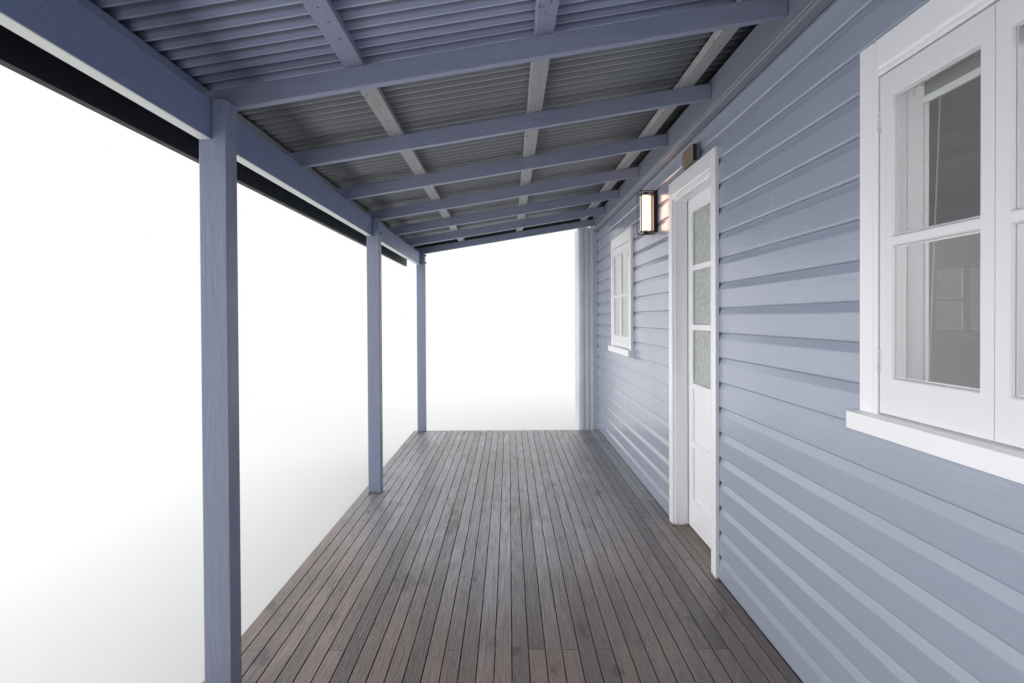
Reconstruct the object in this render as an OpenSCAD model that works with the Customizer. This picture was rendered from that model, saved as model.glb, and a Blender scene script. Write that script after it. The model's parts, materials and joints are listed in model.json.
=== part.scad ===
/* [House] */
// Length of the house along the verandah, over the boards
house_l = 9550; // [9480:10:10500]
// Depth of the house from front boards to back boards
house_d = 6500; // [5200:50:9000]
// Height of the floor and the deck above the ground
floor_h = 300; // [260:10:900]
// Height of the walls above the floor
wall_h = 2760; // [2700:10:3200]
// Thickness of the stud wall behind the boards
wall_t = 100; // [95:1:140]
// Thickness of the floor
floor_t = 20; // [16:1:40]
// Thickness of the ceiling lining
ceiling_t = 13; // [9:1:25]
// Depth of the floor bearers
bearer_h = 90; // [70:5:120]
// Depth of the floor joists
joist_h = 90; // [70:5:110]
// Width of a bearer or a joist
joist_w = 45; // [35:1:75]
// Space between floor joists at most
joist_pitch = 600; // [400:10:900]
// Side of a square stump
stump_w = 100; // [80:5:200]
// Space between stumps along the house at most
stump_pitch = 1900; // [1200:50:2600]

/* [Weatherboards] */
// Height that each board covers
board_cover = 124; // [90:1:180]
// Thickness of a board
board_t = 20; // [15:1:30]
// Height of the chamfer at the top of a board
chamfer_h = 33; // [20:1:60]
// Depth that the chamfer leans back
chamfer_d = 11; // [4:0.5:12]
// Bevel along the lower edge of a board
board_arris = 8; // [0:1:10]
// Width of a corner board
corner_w = 60; // [45:1:62]
// How far a corner board stands proud of the boards
corner_proud = 12; // [5:1:25]
// Height of a base board between the stumps
base_board_h = 62; // [40:1:70]
// Thickness of a base board
base_board_t = 20; // [15:1:30]

/* [Main roof] */
// Pitch of the main roof in degrees
roof_pitch = 22.5; // [18:0.5:30]
// Eave overhang beyond the boards
eave_out = 350; // [250:10:450]
// Gable overhang beyond the boards
gable_out = 250; // [150:10:450]
// Depth of a main rafter
rafter_d = 100; // [90:1:150]
// Width of a rafter
rafter_w = 45; // [35:1:60]
// Space between main rafters at most
rafter_pitch = 900; // [600:10:1200]
// Width of a roof batten
batten_w = 70; // [50:1:90]
// Thickness of a roof batten
batten_t = 35; // [25:1:50]
// Space between main roof battens at most
main_batten_pitch = 900; // [600:10:1200]
// Depth of the eave fascia
eave_fascia_h = 190; // [150:5:200]
// Thickness of a fascia or barge board
fascia_t = 30; // [19:1:40]
// Depth of a barge board
barge_h = 190; // [150:5:240]
// Width of each side of the ridge cap
ridge_cap_w = 170; // [120:5:250]
// Thickness of the eave lining
soffit_t = 6; // [4.5:0.5:12]

/* [Corrugated sheet] */
// Width of one corrugation
corrugation = 76; // [60:1:100]
// Depth of the corrugation
corrugation_d = 17; // [12:1:25]
// Thickness of the sheet
sheet_t = 1; // [0.8:0.1:3]
// How far a sheet runs past the fascia into the gutter
sheet_drip = 50; // [30:1:65]

/* [Gutters] */
// Width of a gutter
gutter_w = 115; // [95:1:150]
// Height of a gutter
gutter_h = 88; // [70:1:95]
// Thickness of the gutter metal
gutter_t = 1.5; // [1:0.1:3]

/* [Verandah] */
// Distance of the near end of the verandah from the end of the house
verandah_near = 485; // [300:5:900]
// Distance of the far end of the verandah from the end of the house
verandah_far = 615; // [615:5:900]
// Width of the deck from the wall
deck_w = 2174; // [1600:10:2600]
// Width of a deck board
deck_board_w = 62.5; // [55:0.5:140]
// Gap between deck boards
deck_gap = 4; // [2:0.5:8]
// Thickness of a deck board
deck_t = 19; // [16:1:35]
// Space between deck joists at most
deck_joist_pitch = 450; // [350:10:600]
// Number of verandah posts
post_count = 4; // [2:1:6]
// Side of a square verandah post
post_w = 95; // [80:1:140]
// Distance from the deck edge to the posts
post_setback = 53; // [30:1:120]
// Depth of the verandah beam
beam_h = 140; // [100:5:200]
// Width of the verandah beam, let into the posts
beam_w = 45; // [35:1:60]
// Height of the top of the beam above the deck
beam_top = 2084; // [1950:1:2110]
// Pitch of the verandah roof in degrees
verandah_pitch = 9.18; // [7:0.01:9.3]
// Depth of a verandah rafter
verandah_rafter_d = 75; // [60:1:90]
// Verandah rafters to each bay between posts
rafters_per_bay = 3; // [2:1:5]
// Thickness of the ledger that the rafters meet at the wall
ledger_t = 41; // [30:1:60]
// Height of the ledger
ledger_h = 162; // [150:1:170]
// How far the ledger hangs below the rafters
ledger_drop = 67; // [40:1:80]
// Distance of the first verandah batten from the wall
batten_1 = 164; // [120:1:300]
// Distance of the second verandah batten from the wall
batten_2 = 916; // [600:1:1100]
// Distance of the third verandah batten from the wall
batten_3 = 1603; // [1300:1:1800]
// Distance of the outer verandah batten from the fascia
batten_4 = 60; // [40:1:90]
// Distance of the fascia beyond the deck edge
fascia_out = 77; // [50:1:150]
// Depth of the verandah fascia
verandah_fascia_h = 214; // [150:1:240]
// How far the verandah sheets run past the end rafters
sheet_end = 50; // [20:1:50]

/* [Front door] */
// Middle of the door from the middle of the house
door_y = 37; // [-50:1:100]
// Width of the door leaf
leaf_w = 820; // [760:10:920]
// Height of the door leaf
leaf_h = 2050; // [1980:10:2080]
// Thickness of the door leaf
leaf_t = 38; // [35:1:45]
// Height of the leaf above the floor
leaf_lift = 10; // [8:1:20]
// Gap between the leaf and the frame
leaf_gap = 5; // [5:0.5:8]
// Width of the stop that the leaf closes against
stop_w = 15; // [10:1:20]
// Thickness of the door jamb beside the leaf
jamb_t = 20; // [15:1:40]
// Width of a door architrave
door_trim_w = 85; // [60:1:110]
// Height of the architrave over the door
door_head_h = 110; // [80:1:120]
// Thickness of an architrave
trim_t = 18; // [12:1:25]
// Depth of the groove beside the bead of an architrave
trim_step = 6; // [3:1:7]
// Width of the groove and bead along the inner edge of an architrave
trim_bead_w = 25; // [20:1:35]
// Width of the stiles of the leaf
stile_w = 95; // [80:1:120]
// Height of the bottom rail of the leaf
bottom_rail_h = 172; // [150:1:260]
// Height of the rails between panels
mid_rail_h = 31; // [20:1:60]
// Height of the top rail of the leaf
top_rail_h = 89; // [70:1:130]
// Number of panels, one above another
panel_count = 5; // [3:1:6]
// Number of solid panels at the foot of the leaf
solid_panels = 2; // [1:1:2]
// Thickness of a solid panel
panel_t = 12; // [9:1:18]
// Height of the door knob above the floor
knob_h = 1060; // [900:10:1150]
// Diameter of a door knob
knob_d = 52; // [40:1:60]
// Height of a hinge
hinge_h = 100; // [75:1:125]

/* [Windows] */
// Middle of the window nearer the viewer from the middle of the house
near_window_y = -2425; // [-2700:5:-2200]
// Middle of the farther window from the middle of the house
far_window_y = 2425; // [2200:5:2700]
// Width of the window between its jambs
window_w = 902; // [700:1:910]
// Height of the window from sill to head
window_h = 932; // [700:1:960]
// Height of the window sill above the floor
window_sill_h = 1050; // [900:10:1060]
// Thickness of a window jamb
window_jamb_t = 30; // [20:1:50]
// Thickness of a window sash
sash_t = 35; // [30:1:45]
// How far a sash stands proud of the boards
sash_proud = 20; // [0:1:22]
// Width of a sash stile beside a jamb
sash_stile_w = 59; // [35:1:70]
// Width of a sash stile where two sashes meet
sash_meeting_w = 44; // [35:1:70]
// Height of the top rail of a sash
sash_top_h = 64; // [40:1:80]
// Height of the bottom rail of a sash
sash_bottom_h = 98; // [60:1:120]
// Height of the bar across a sash
sash_bar_h = 22; // [16:1:30]
// How far the bar sits below the middle of its sash
sash_bar_drop = 11; // [0:1:40]
// Width of a window architrave
window_trim_w = 95; // [80:1:120]
// Thickness of a window architrave
window_trim_t = 24; // [16:1:30]
// Height of the architrave over a window
window_head_h = 102; // [50:1:110]
// Thickness of a window sill
sill_t = 59; // [35:1:65]
// How far the top of a sill falls to its front edge
sill_fall = 9; // [3:1:15]
// How far a sill stands out from the boards
sill_out = 51; // [35:1:80]
// How far a sill runs past the architraves
sill_ear = 26; // [20:1:80]
// Thickness of the glass
glass_t = 4; // [3:1:6]
// How far the glass of a window lies behind the front of its sash
glass_recess = 8; // [4:1:15]

/* [Fittings] */
// Middle of the wall lantern from the middle of the house
lantern_y = 1015; // [700:5:1200]
// Width of the wall lantern
lantern_w = 160; // [100:1:200]
// Height of the wall lantern
lantern_h = 295; // [200:1:320]
// Depth of the wall lantern
lantern_d = 118; // [80:1:150]
// Height of the foot of the lantern above the deck
lantern_z = 1919; // [1700:1:1990]
// Width of the bare board over the door
plaque_w = 223; // [150:1:300]
// Thickness of the bare board over the door
plaque_t = 22; // [15:1:40]
// How far the bare board stands above the architrave
plaque_rise = 92; // [60:1:94]
// Width of the ribbed cupboard out from the wall
cupboard_w = 221; // [150:1:400]
// Length of the ribbed cupboard along the wall
cupboard_l = 515; // [300:5:515]
// Height of the ribbed cupboard
cupboard_h = 2690; // [2300:10:2690]
// Space between the ribs of the cupboard
cupboard_rib = 60; // [50:1:90]
// Depth of the ribs of the cupboard
cupboard_rib_d = 10; // [6:1:14]
// Diameter of the roller blind behind the near window
blind_d = 62; // [40:1:80]

/* [Hidden] */

// Seat clearance between a tilted face and what carries it
seat = 0.3;
// More than any cut needs to pass through
far = 100;

// Main lines of the house, with x = 0 on the flat faces of the front boards
core_l = house_l - 2 * board_t;
core_x0 = board_t;
core_x1 = house_d - board_t;
wall_in = board_t + wall_t;
wall_top = floor_h + wall_h;
board_foot = floor_h - board_cover;
roof_rise = tan(roof_pitch);
ridge_x = house_d / 2;
rafter_v = rafter_d / cos(roof_pitch);
batten_v = batten_t / cos(roof_pitch);
function rafter_under(x) = wall_top + (min(x, house_d - x) - wall_in) * roof_rise;
eave_x = -eave_out;
soffit_top = rafter_under(eave_x);
soffit_foot = soffit_top - soffit_t;

// Main lines of the verandah
v_y0 = -house_l / 2 + verandah_near;
v_y1 = house_l / 2 - verandah_far;
verandah_l = v_y1 - v_y0;
post_x0 = -deck_w + post_setback;
post_x1 = post_x0 + post_w;
post_pitch = (verandah_l - post_w) / (post_count - 1);
v_rise = tan(verandah_pitch);
v_beam_top = floor_h + beam_top;
function v_under(x) = v_beam_top + (x - post_x1) * v_rise;
v_rafter_v = verandah_rafter_d / cos(verandah_pitch);
v_batten_v = batten_t / cos(verandah_pitch);
function v_sheet_under(x) = v_under(x) + v_rafter_v + v_batten_v + seat;
v_rafter_pitch = post_pitch / rafters_per_bay;
v_rafter_count = (post_count - 1) * rafters_per_bay + 1;
v_rafter_y0 = v_y0 + post_w;
v_last = v_y1 + rafter_w;
fascia_x = -deck_w - fascia_out;
fascia_out_x = fascia_x - fascia_t;

// Place of the whole house, so that the origin is under its middle
x_low = fascia_out_x - gutter_w;
x_high = house_d + eave_out + fascia_t + gutter_w;
origin_x = -(x_low + x_high) / 2;

// Door frame lines
leaf_x0 = wall_in - leaf_t;
leaf_y0 = door_y - leaf_w / 2;
leaf_y1 = door_y + leaf_w / 2;
lock_gap = leaf_gap + 1.5;
rebate_y0 = leaf_y0 - lock_gap;
rebate_y1 = leaf_y1 + leaf_gap;
leaf_foot = floor_h + leaf_lift;
leaf_top = leaf_foot + leaf_h;
rebate_top = leaf_top + leaf_gap;
clear_y0 = rebate_y0 + stop_w;
clear_y1 = rebate_y1 - stop_w;
clear_top = rebate_top - stop_w;
hole_y0 = rebate_y0 - jamb_t;
hole_y1 = rebate_y1 + jamb_t;
hole_top = rebate_top + jamb_t;
stop_x = leaf_x0 - leaf_gap;
trim_margin = 12.5;
trim_foot = floor_h + 1;
sill_top = floor_h + 3;
knob_y = leaf_y0 + stile_w * 0.55;
knob_reach = knob_d * 1.1;
plaque_y = door_y - 77.5;
panel_h = (leaf_h - bottom_rail_h - top_rail_h - (panel_count - 1) * mid_rail_h) / panel_count;
function panel_z(i) = leaf_foot + bottom_rail_h + i * (panel_h + mid_rail_h);

// Hinge lines
pin_x = wall_in + 8;
pin_y = leaf_y1 + leaf_gap / 2;
pin_r = 3.5;
knuckle_r = 6.5;
pin_play = 0.3;
hinge_leaf_t = 2;
hinge_leaf_w = 32;
hinge_ends = 180;
hinge_count = 3;
function hinge_z(i) = leaf_foot + hinge_ends
    + i * (leaf_h - 2 * hinge_ends - hinge_h) / (hinge_count - 1);
knuckle_h = hinge_h / 3;

// Window lines
window_z0 = floor_h + window_sill_h;
window_z1 = window_z0 + window_h;
window_margin = 3;
window_stop_x = -sash_proud + sash_t;
window_stop_w = 12;
cupboard_gap = 5;
sash_gap = 2;
sash_w = (window_w - 3 * sash_gap) / 2;
sash_z0 = window_z0 + sash_gap;
sash_h = window_h - 2 * sash_gap;
pane_w = sash_w - sash_stile_w - sash_meeting_w;
function pane_y0(s) = s < 0
    ? -sash_gap / 2 - sash_w + sash_stile_w
    : sash_gap / 2 + sash_meeting_w;
bar_z = sash_z0 + sash_bottom_h - sash_bar_drop
    + (sash_h - sash_bottom_h - sash_top_h - sash_bar_h) / 2;
end_window_share = 0.27;
end_window_x = [house_d * end_window_share, house_d * (1 - end_window_share)];
back_window_y = [near_window_y, 0, far_window_y];

// Draws what belongs to the house at its place over the origin
module placed() {
    translate([origin_x, 0, 0]) children();
}

// A profile drawn in x and z, run along y from y0 to y1
module along_y(y0, y1) {
    translate([0, y1, 0]) rotate([90, 0, 0]) linear_extrude(y1 - y0) children();
}

// A profile drawn in y and z, run along x from x0 to x1
module along_x(x0, x1) {
    translate([x0, 0, 0]) rotate([90, 0, 90]) linear_extrude(x1 - x0) children();
}

// A block between two corners
module block(a, b) {
    translate(a) cube(b - a);
}

// Place copies at the windows of each wall, turned to face outwards
module at_front_windows() {
    for (y = [near_window_y, far_window_y]) translate([0, y, 0]) children();
}

module at_back_windows() {
    for (y = back_window_y) translate([house_d, y, 0]) rotate([0, 0, 180]) children();
}

module at_end_windows() {
    for (x = end_window_x) {
        translate([x, -house_l / 2, 0]) rotate([0, 0, 90]) children();
        translate([x, house_l / 2, 0]) rotate([0, 0, -90]) children();
    }
}

module at_all_windows() {
    at_front_windows() children();
    at_back_windows() children();
    at_end_windows() children();
}

// The hole that a window frame fills, from outside the boards to the room
module window_hole(depth) {
    block([-far, -window_w / 2 - window_jamb_t, window_z0 - sill_t],
        [depth, window_w / 2 + window_jamb_t, window_z1 + window_jamb_t]);
}

// Outline of a stack of chamfered boards, flat faces at x = 0, height h
module board_stack(h) {
    n = ceil(h / board_cover);
    face = [for (i = [0:n - 1]) each [
        [board_arris, i * board_cover],
        [0, i * board_cover + board_arris],
        [0, (i + 1) * board_cover - chamfer_h],
        [chamfer_d, (i + 1) * board_cover]
    ]];
    intersection() {
        polygon(concat(face, [[board_t, n * board_cover], [board_t, 0]]));
        translate([0, 0]) square([board_t, h]);
    }
}

// Stumps and floor
function steps(run, pitch) = ceil(run / pitch);

module stump_row(x, y0, y1) {
    n = steps(y1 - y0 - stump_w, stump_pitch);
    for (i = [0:n])
        translate([x, y0 + i * (y1 - y0 - stump_w) / n, 0])
            cube([stump_w, stump_w, floor_h - floor_t - joist_h - bearer_h]);
}

bearer_rows = [core_x0, (core_x0 + core_x1 - stump_w) / 2, core_x1 - stump_w];
deck_bearer_z1 = floor_h - deck_t - joist_h;
deck_bearer_rows = [post_x0, -stump_w - base_board_t - joist_w];

module stumps() color("#6f6d69") placed() {
    for (x = bearer_rows) stump_row(x, -core_l / 2, core_l / 2);
    n = post_count - 1;
    for (x = deck_bearer_rows)
        for (i = [0:n])
            translate([x, v_y0 + i * (verandah_l - stump_w) / n, 0])
                cube([stump_w, stump_w, deck_bearer_z1 - bearer_h]);
}

// Bearers lie on the stumps along the house and under the deck
module bearers() color("#8b7a62") placed() {
    inset = (stump_w - joist_w) / 2;
    for (x = bearer_rows)
        translate([x + inset, -core_l / 2, floor_h - floor_t - joist_h - bearer_h])
            cube([joist_w, core_l, bearer_h]);
    for (x = deck_bearer_rows)
        translate([x + inset, v_y0, deck_bearer_z1 - bearer_h])
            cube([joist_w, verandah_l, bearer_h]);
}

// Joists cross the bearers under the floor and the deck
module joists() color("#8b7a62") placed() {
    n = steps(core_l - joist_w, joist_pitch);
    for (i = [0:n])
        translate([core_x0, -core_l / 2 + i * (core_l - joist_w) / n, floor_h - floor_t - joist_h])
            cube([core_x1 - core_x0, joist_w, joist_h]);
    m = steps(verandah_l - joist_w, deck_joist_pitch);
    for (i = [0:m])
        translate([-deck_w, v_y0 + i * (verandah_l - joist_w) / m, deck_bearer_z1])
            cube([deck_w, joist_w, joist_h]);
}

module floor() color("#9a7b57") placed()
    block([core_x0, -core_l / 2, floor_h - floor_t], [core_x1, core_l / 2, floor_h]);

// Base boards hang from the foot of the boards on the three sides without a deck
module base_boards() color("#6b75a0") placed() {
    least_gap = 15;
    foot = 20;
    count = floor((board_foot - foot) / (base_board_h + least_gap));
    gap = (board_foot - foot - count * base_board_h) / count;
    for (i = [0:count - 1]) {
        z = foot + gap / 2 + i * (base_board_h + gap);
        for (s = [-1, 1])
            block([core_x0, min(s * core_l / 2, s * (core_l / 2 + base_board_t)), z],
                [core_x1, max(s * core_l / 2, s * (core_l / 2 + base_board_t)), z + base_board_h]);
        block([core_x1, -core_l / 2, z], [core_x1 + base_board_t, core_l / 2, z + base_board_h]);
    }
}

// Walls
module front_core(y0, y1, z0) {
    difference() {
        block([core_x0, y0, z0], [wall_in, y1, wall_top]);
        at_front_windows() window_hole(wall_in + far);
    }
}

module front_wall_near() color("#d9d4c8") placed() front_core(-core_l / 2, hole_y0, floor_h);

module front_wall_far() color("#d9d4c8") placed() front_core(hole_y1, core_l / 2, floor_h);

module front_wall_over_door() color("#d9d4c8") placed() front_core(hole_y0, hole_y1, hole_top);

module back_wall() color("#d9d4c8") placed() {
    difference() {
        block([house_d - wall_in, -core_l / 2, floor_h], [core_x1, core_l / 2, wall_top]);
        at_back_windows() window_hole(wall_in + far);
    }
}

// Outline of a gable end up to the line at v above the rafters' undersides
module gable(x0, z0, v) {
    polygon([
        [x0, z0], [house_d - x0, z0],
        [house_d - x0, rafter_under(x0) + v],
        [ridge_x, rafter_under(ridge_x) + v],
        [x0, rafter_under(x0) + v]
    ]);
}

module end_walls() color("#d9d4c8") placed() {
    difference() {
        for (s = [-1, 1])
            along_y(s < 0 ? -core_l / 2 : core_l / 2 - wall_t,
                s < 0 ? -core_l / 2 + wall_t : core_l / 2)
                gable(wall_in, floor_h, 0);
        at_end_windows() window_hole(wall_in + far);
    }
}

module front_boards() color("#8a94ab") placed() {
    difference() {
        translate([0, 0, floor_h])
            along_y(-house_l / 2 + corner_w - corner_proud, house_l / 2 - corner_w + corner_proud)
                board_stack(soffit_foot - floor_h);
        at_front_windows() window_hole(wall_in);
        block([-far, hole_y0, 0], [wall_in, hole_y1, hole_top]);
    }
}

module back_boards() color("#8a94ab") placed() {
    difference() {
        translate([house_d, 0, board_foot]) mirror([1, 0, 0])
            along_y(-house_l / 2 + corner_w - corner_proud, house_l / 2 - corner_w + corner_proud)
                board_stack(soffit_foot - board_foot);
        at_back_windows() window_hole(wall_in);
    }
}

module end_boards() color("#8a94ab") placed() {
    inset = corner_w - corner_proud;
    top = rafter_under(ridge_x) + rafter_v;
    difference() {
        intersection() {
            for (s = [-1, 1])
                mirror([0, s < 0 ? 0 : 1, 0])
                    translate([inset, -house_l / 2, board_foot])
                        rotate([0, 0, 90]) mirror([0, 1, 0])
                            along_y(0, house_d - 2 * inset) board_stack(top - board_foot);
            along_y(-house_l / 2 - far, house_l / 2 + far) gable(inset, board_foot, rafter_v);
        }
        at_end_windows() window_hole(wall_in);
    }
}

// An angle of two boards at each corner, over the ends of the boards
module corner_boards() color("#8a94ab") placed() {
    for (front = [0, 1], s = [0, 1])
        translate([front * house_d, 0, 0]) mirror([front, 0, 0]) mirror([0, s, 0])
            translate([-corner_proud, -house_l / 2 - corner_proud, 0]) {
                z0 = front == 0 ? floor_h : board_foot;
                difference() {
                    block([0, 0, z0], [corner_w, corner_w, soffit_foot]);
                    block([corner_proud + board_t, corner_proud + board_t, z0 - far],
                        [corner_w + far, corner_w + far, soffit_foot + far]);
                }
            }
}

module ceiling() color("#e6e4de") placed()
    block([wall_in, -core_l / 2 + wall_t, wall_top - ceiling_t],
        [house_d - wall_in, core_l / 2 - wall_t, wall_top]);

// Main roof
module front_half(v0, v1, x0, x1) {
    polygon([
        [x0, rafter_under(x0) + v0], [x1, rafter_under(x1) + v0],
        [x1, rafter_under(x1) + v1], [x0, rafter_under(x0) + v1]
    ]);
}

module roof_rafters() color("#a58a63") placed() {
    n = steps(core_l - rafter_w, rafter_pitch);
    difference() {
        for (i = [0:n]) {
            y = -core_l / 2 + i * (core_l - rafter_w) / n;
            along_y(y, y + rafter_w) {
                front_half(0, rafter_v, eave_x, ridge_x);
                translate([house_d, 0]) mirror([1, 0]) front_half(0, rafter_v, eave_x, ridge_x);
            }
        }
        block([core_x0, -core_l, 0], [wall_in, core_l, wall_top]);
        block([house_d - wall_in, -core_l, 0], [core_x1, core_l, wall_top]);
    }
}

roof_slope_l = (ridge_x - eave_x) / cos(roof_pitch);
batten_clear = 5;
first_batten = batten_t * roof_rise + batten_clear;
last_batten = roof_slope_l - batten_t * roof_rise - batten_w - 3 * batten_clear;
main_batten_count = steps(last_batten - first_batten, main_batten_pitch);

module roof_battens() color("#a58a63") placed()
    for (m = [0, 1])
        translate([m * house_d, 0, 0]) mirror([m, 0, 0])
            translate([eave_x, 0, rafter_under(eave_x) + rafter_v]) rotate([0, -roof_pitch, 0])
                for (i = [0:main_batten_count])
                    translate([
                        first_batten + i * (last_batten - first_batten) / main_batten_count,
                        -house_l / 2 - gable_out, seat
                    ])
                        cube([batten_w, house_l + 2 * gable_out, batten_t]);

// One wave of the sheet is six points, so that crests and valleys are flat
wave = [0, 1, 1, 0, -1, -1];

module sheet_outline(run) {
    step = corrugation / len(wave);
    n = floor(run / step);
    start = (run - n * step) / 2;
    top = [for (i = [0:n]) [
        start + i * step,
        corrugation_d / 2 * (1 + wave[i % len(wave)])
    ]];
    under = [for (i = [n:-1:0]) [top[i][0], top[i][1] + sheet_t]];
    polygon(concat(top, under));
}

module roof_sheets() color("#83888c") placed()
    for (m = [0, 1])
        translate([m * house_d, 0, 0]) mirror([m, 0, 0])
            translate([eave_x, -house_l / 2 - gable_out - fascia_t,
                rafter_under(eave_x) + rafter_v + batten_v + 2 * seat])
                rotate([0, -roof_pitch, 0])
                    translate([-sheet_drip - fascia_t, 0, 0])
                        along_x(0, roof_slope_l + sheet_drip + fascia_t - 2 * corrugation_d)
                            sheet_outline(house_l + 2 * gable_out + 2 * fascia_t);

// Top of the sheets over a point of the front slope
function sheet_crest(x) = rafter_under(x) + rafter_v + batten_v
    + (corrugation_d + sheet_t) / cos(roof_pitch) + 3 * seat;

module ridge_cap() color("#777c80") placed() {
    w = ridge_cap_w * cos(roof_pitch);
    roll = 22;
    t = 2 * sheet_t / cos(roof_pitch);
    along_y(-house_l / 2 - gable_out - fascia_t, house_l / 2 + gable_out + fascia_t) {
        polygon([
            [ridge_x - w, sheet_crest(ridge_x - w)],
            [ridge_x, sheet_crest(ridge_x)],
            [ridge_x + w, sheet_crest(ridge_x + w)],
            [ridge_x + w, sheet_crest(ridge_x + w) + t],
            [ridge_x, sheet_crest(ridge_x) + t],
            [ridge_x - w, sheet_crest(ridge_x - w) + t]
        ]);
        translate([ridge_x, sheet_crest(ridge_x) + roll / 2]) circle(roll, $fn = 48);
    }
}

// A barge board follows each slope of each gable, on the ends of the battens
module barge_boards() color("#2a2e34") placed()
    for (s = [-1, 1]) {
        y = house_l / 2 + gable_out;
        along_y(s < 0 ? -y - fascia_t : y, s < 0 ? -y : y + fascia_t) {
            front_half(rafter_v + batten_v - barge_h, rafter_v + batten_v, eave_x - fascia_t, ridge_x);
            translate([house_d, 0]) mirror([1, 0])
                front_half(rafter_v + batten_v - barge_h, rafter_v + batten_v,
                    eave_x - fascia_t, ridge_x);
        }
    }

module eave_linings() color("#e0e0e2") placed()
    for (m = [0, 1])
        translate([m * house_d, 0, 0]) mirror([m, 0, 0])
            block([eave_x, -core_l / 2, soffit_foot], [core_x0, core_l / 2, soffit_top]);

// Fascias of the two eaves and of the verandah
eave_fascia_top = rafter_under(eave_x - fascia_t) + rafter_v + batten_v;
verandah_fascia_top = v_sheet_under(fascia_out_x) - seat;

module fascias() color("#1f2328") placed() {
    y = house_l / 2 + gable_out;
    for (m = [0, 1])
        translate([m * house_d, 0, 0]) mirror([m, 0, 0])
            block([eave_x - fascia_t, -y, eave_fascia_top - eave_fascia_h],
                [eave_x, y, eave_fascia_top]);
    block([fascia_out_x, v_y0, verandah_fascia_top - verandah_fascia_h],
        [fascia_x, v_last, verandah_fascia_top]);
}

// Quad gutter in section, its flat back at x = 0 and its rounded front at x = -gutter_w
gutter_r = gutter_h * 0.55;
gutter_lip = gutter_h * 0.86;

module gutter_fill(back_h) {
    translate([-gutter_w + gutter_r, 0]) square([gutter_w - gutter_r, back_h]);
    intersection() {
        translate([-gutter_w + gutter_r, gutter_r]) circle(gutter_r, $fn = 64);
        translate([-gutter_w, 0]) square([gutter_r, gutter_r]);
    }
    translate([-gutter_w, gutter_r]) square([gutter_r, gutter_lip - gutter_r]);
}

module gutter_outline() {
    difference() {
        gutter_fill(gutter_h);
        translate([-gutter_w + gutter_r, gutter_t])
            square([gutter_w - gutter_r - gutter_t, gutter_h]);
        translate([-gutter_w + gutter_r, gutter_r]) circle(gutter_r - gutter_t, $fn = 64);
        translate([-gutter_w + gutter_t, gutter_r]) square([gutter_r, gutter_h]);
    }
}

// A gutter is closed by a flat cap at each end
module gutter(y0, y1) {
    along_y(y0, y1) gutter_outline();
    for (y = [y0, y1 - gutter_t]) along_y(y, y + gutter_t) gutter_fill(gutter_lip);
}

module gutters() color("#22262b") placed() {
    y = house_l / 2 + gable_out;
    for (m = [0, 1])
        translate([m * house_d, 0, 0]) mirror([m, 0, 0])
            translate([eave_x - fascia_t, 0, eave_fascia_top - gutter_h - corrugation_d])
                gutter(-y, y);
    translate([fascia_out_x, 0, verandah_fascia_top - gutter_h - corrugation_d])
        gutter(v_y0, v_last);
}

// Deck
module deck_boards() color("#6b635c") placed() {
    pitch = deck_board_w + deck_gap;
    n = ceil((deck_w - deck_gap) / pitch);
    for (i = [0:n - 1]) {
        x = -deck_w + i * pitch;
        translate([x, v_y0, floor_h - deck_t])
            cube([min(deck_board_w, -x), verandah_l, deck_t]);
    }
}

// Posts stand on the deck, and their outer part is cut away for the beam
module verandah_posts() color("#7f89ab") placed()
    for (i = [0:post_count - 1])
        translate([post_x0, v_y0 + i * post_pitch, floor_h])
            difference() {
                cube([post_w, post_w, beam_top]);
                translate([-far, -far, beam_top - beam_h])
                    cube([beam_w + far, post_w + 2 * far, beam_h + far]);
            }

module verandah_beam() color("#6b75a0") placed()
    block([post_x0, v_y0, v_beam_top - beam_h], [post_x0 + beam_w, v_last, v_beam_top]);

// Rafters are notched over the beam and meet the ledger
module verandah_rafters() color("#5b6690") placed()
    for (i = [0:v_rafter_count - 1]) {
        y = v_rafter_y0 + i * v_rafter_pitch;
        b0 = post_x0;
        b1 = post_x0 + beam_w;
        along_y(y, y + rafter_w)
            polygon([
                [fascia_x, v_under(fascia_x)],
                [b0, v_under(b0)], [b0, v_beam_top], [b1, v_beam_top], [b1, v_under(b1)],
                [-ledger_t, v_under(-ledger_t)],
                [-ledger_t, v_under(-ledger_t) + v_rafter_v],
                [fascia_x, v_under(fascia_x) + v_rafter_v]
            ]);
    }

verandah_batten_x = [-batten_1, -batten_2, -batten_3, fascia_x + batten_4];

module verandah_battens() color("#8e9093") placed()
    for (x = verandah_batten_x)
        translate([x, v_y0, v_under(x) + v_rafter_v + seat])
            rotate([0, -verandah_pitch, 0])
                translate([-batten_w / 2, 0, 0])
                    cube([batten_w, v_last - v_y0, batten_t]);

module verandah_roof() color("#83888c") placed() {
    x0 = fascia_out_x - sheet_drip;
    wall_gap = 5;
    run = (-x0 - wall_gap) / cos(verandah_pitch) - corrugation_d * v_rise;
    translate([x0, v_y0 - sheet_end, v_sheet_under(x0) + seat])
        rotate([0, -verandah_pitch, 0])
            along_x(0, run)
                sheet_outline(v_last - v_y0 + 2 * sheet_end);
}

// Flat board on the wall where the rafters end, with two small beads at its foot
module rafter_ledger() color("#8a94ab") placed() {
    z0 = v_under(-ledger_t) - ledger_drop;
    bead = 9;
    along_y(v_y0, v_last) {
        translate([-ledger_t, z0]) square([ledger_t, ledger_h]);
        for (i = [0, 1])
            translate([-ledger_t + bead / 3, z0 + bead * (1 + 2 * i)]) circle(bead, $fn = 24);
    }
}

// Outline in section of an architrave with its beaded inner edge at w
module trim_outline(w, t) {
    polygon([
        [0, 0], [-t, 0], [-t, w - trim_bead_w],
        [-t + trim_step, w - trim_bead_w + trim_step],
        [-t, w - trim_bead_w + 2 * trim_step],
        [-t, w - trim_step / 2], [-t + trim_step / 2, w], [0, w]
    ]);
}

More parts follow.
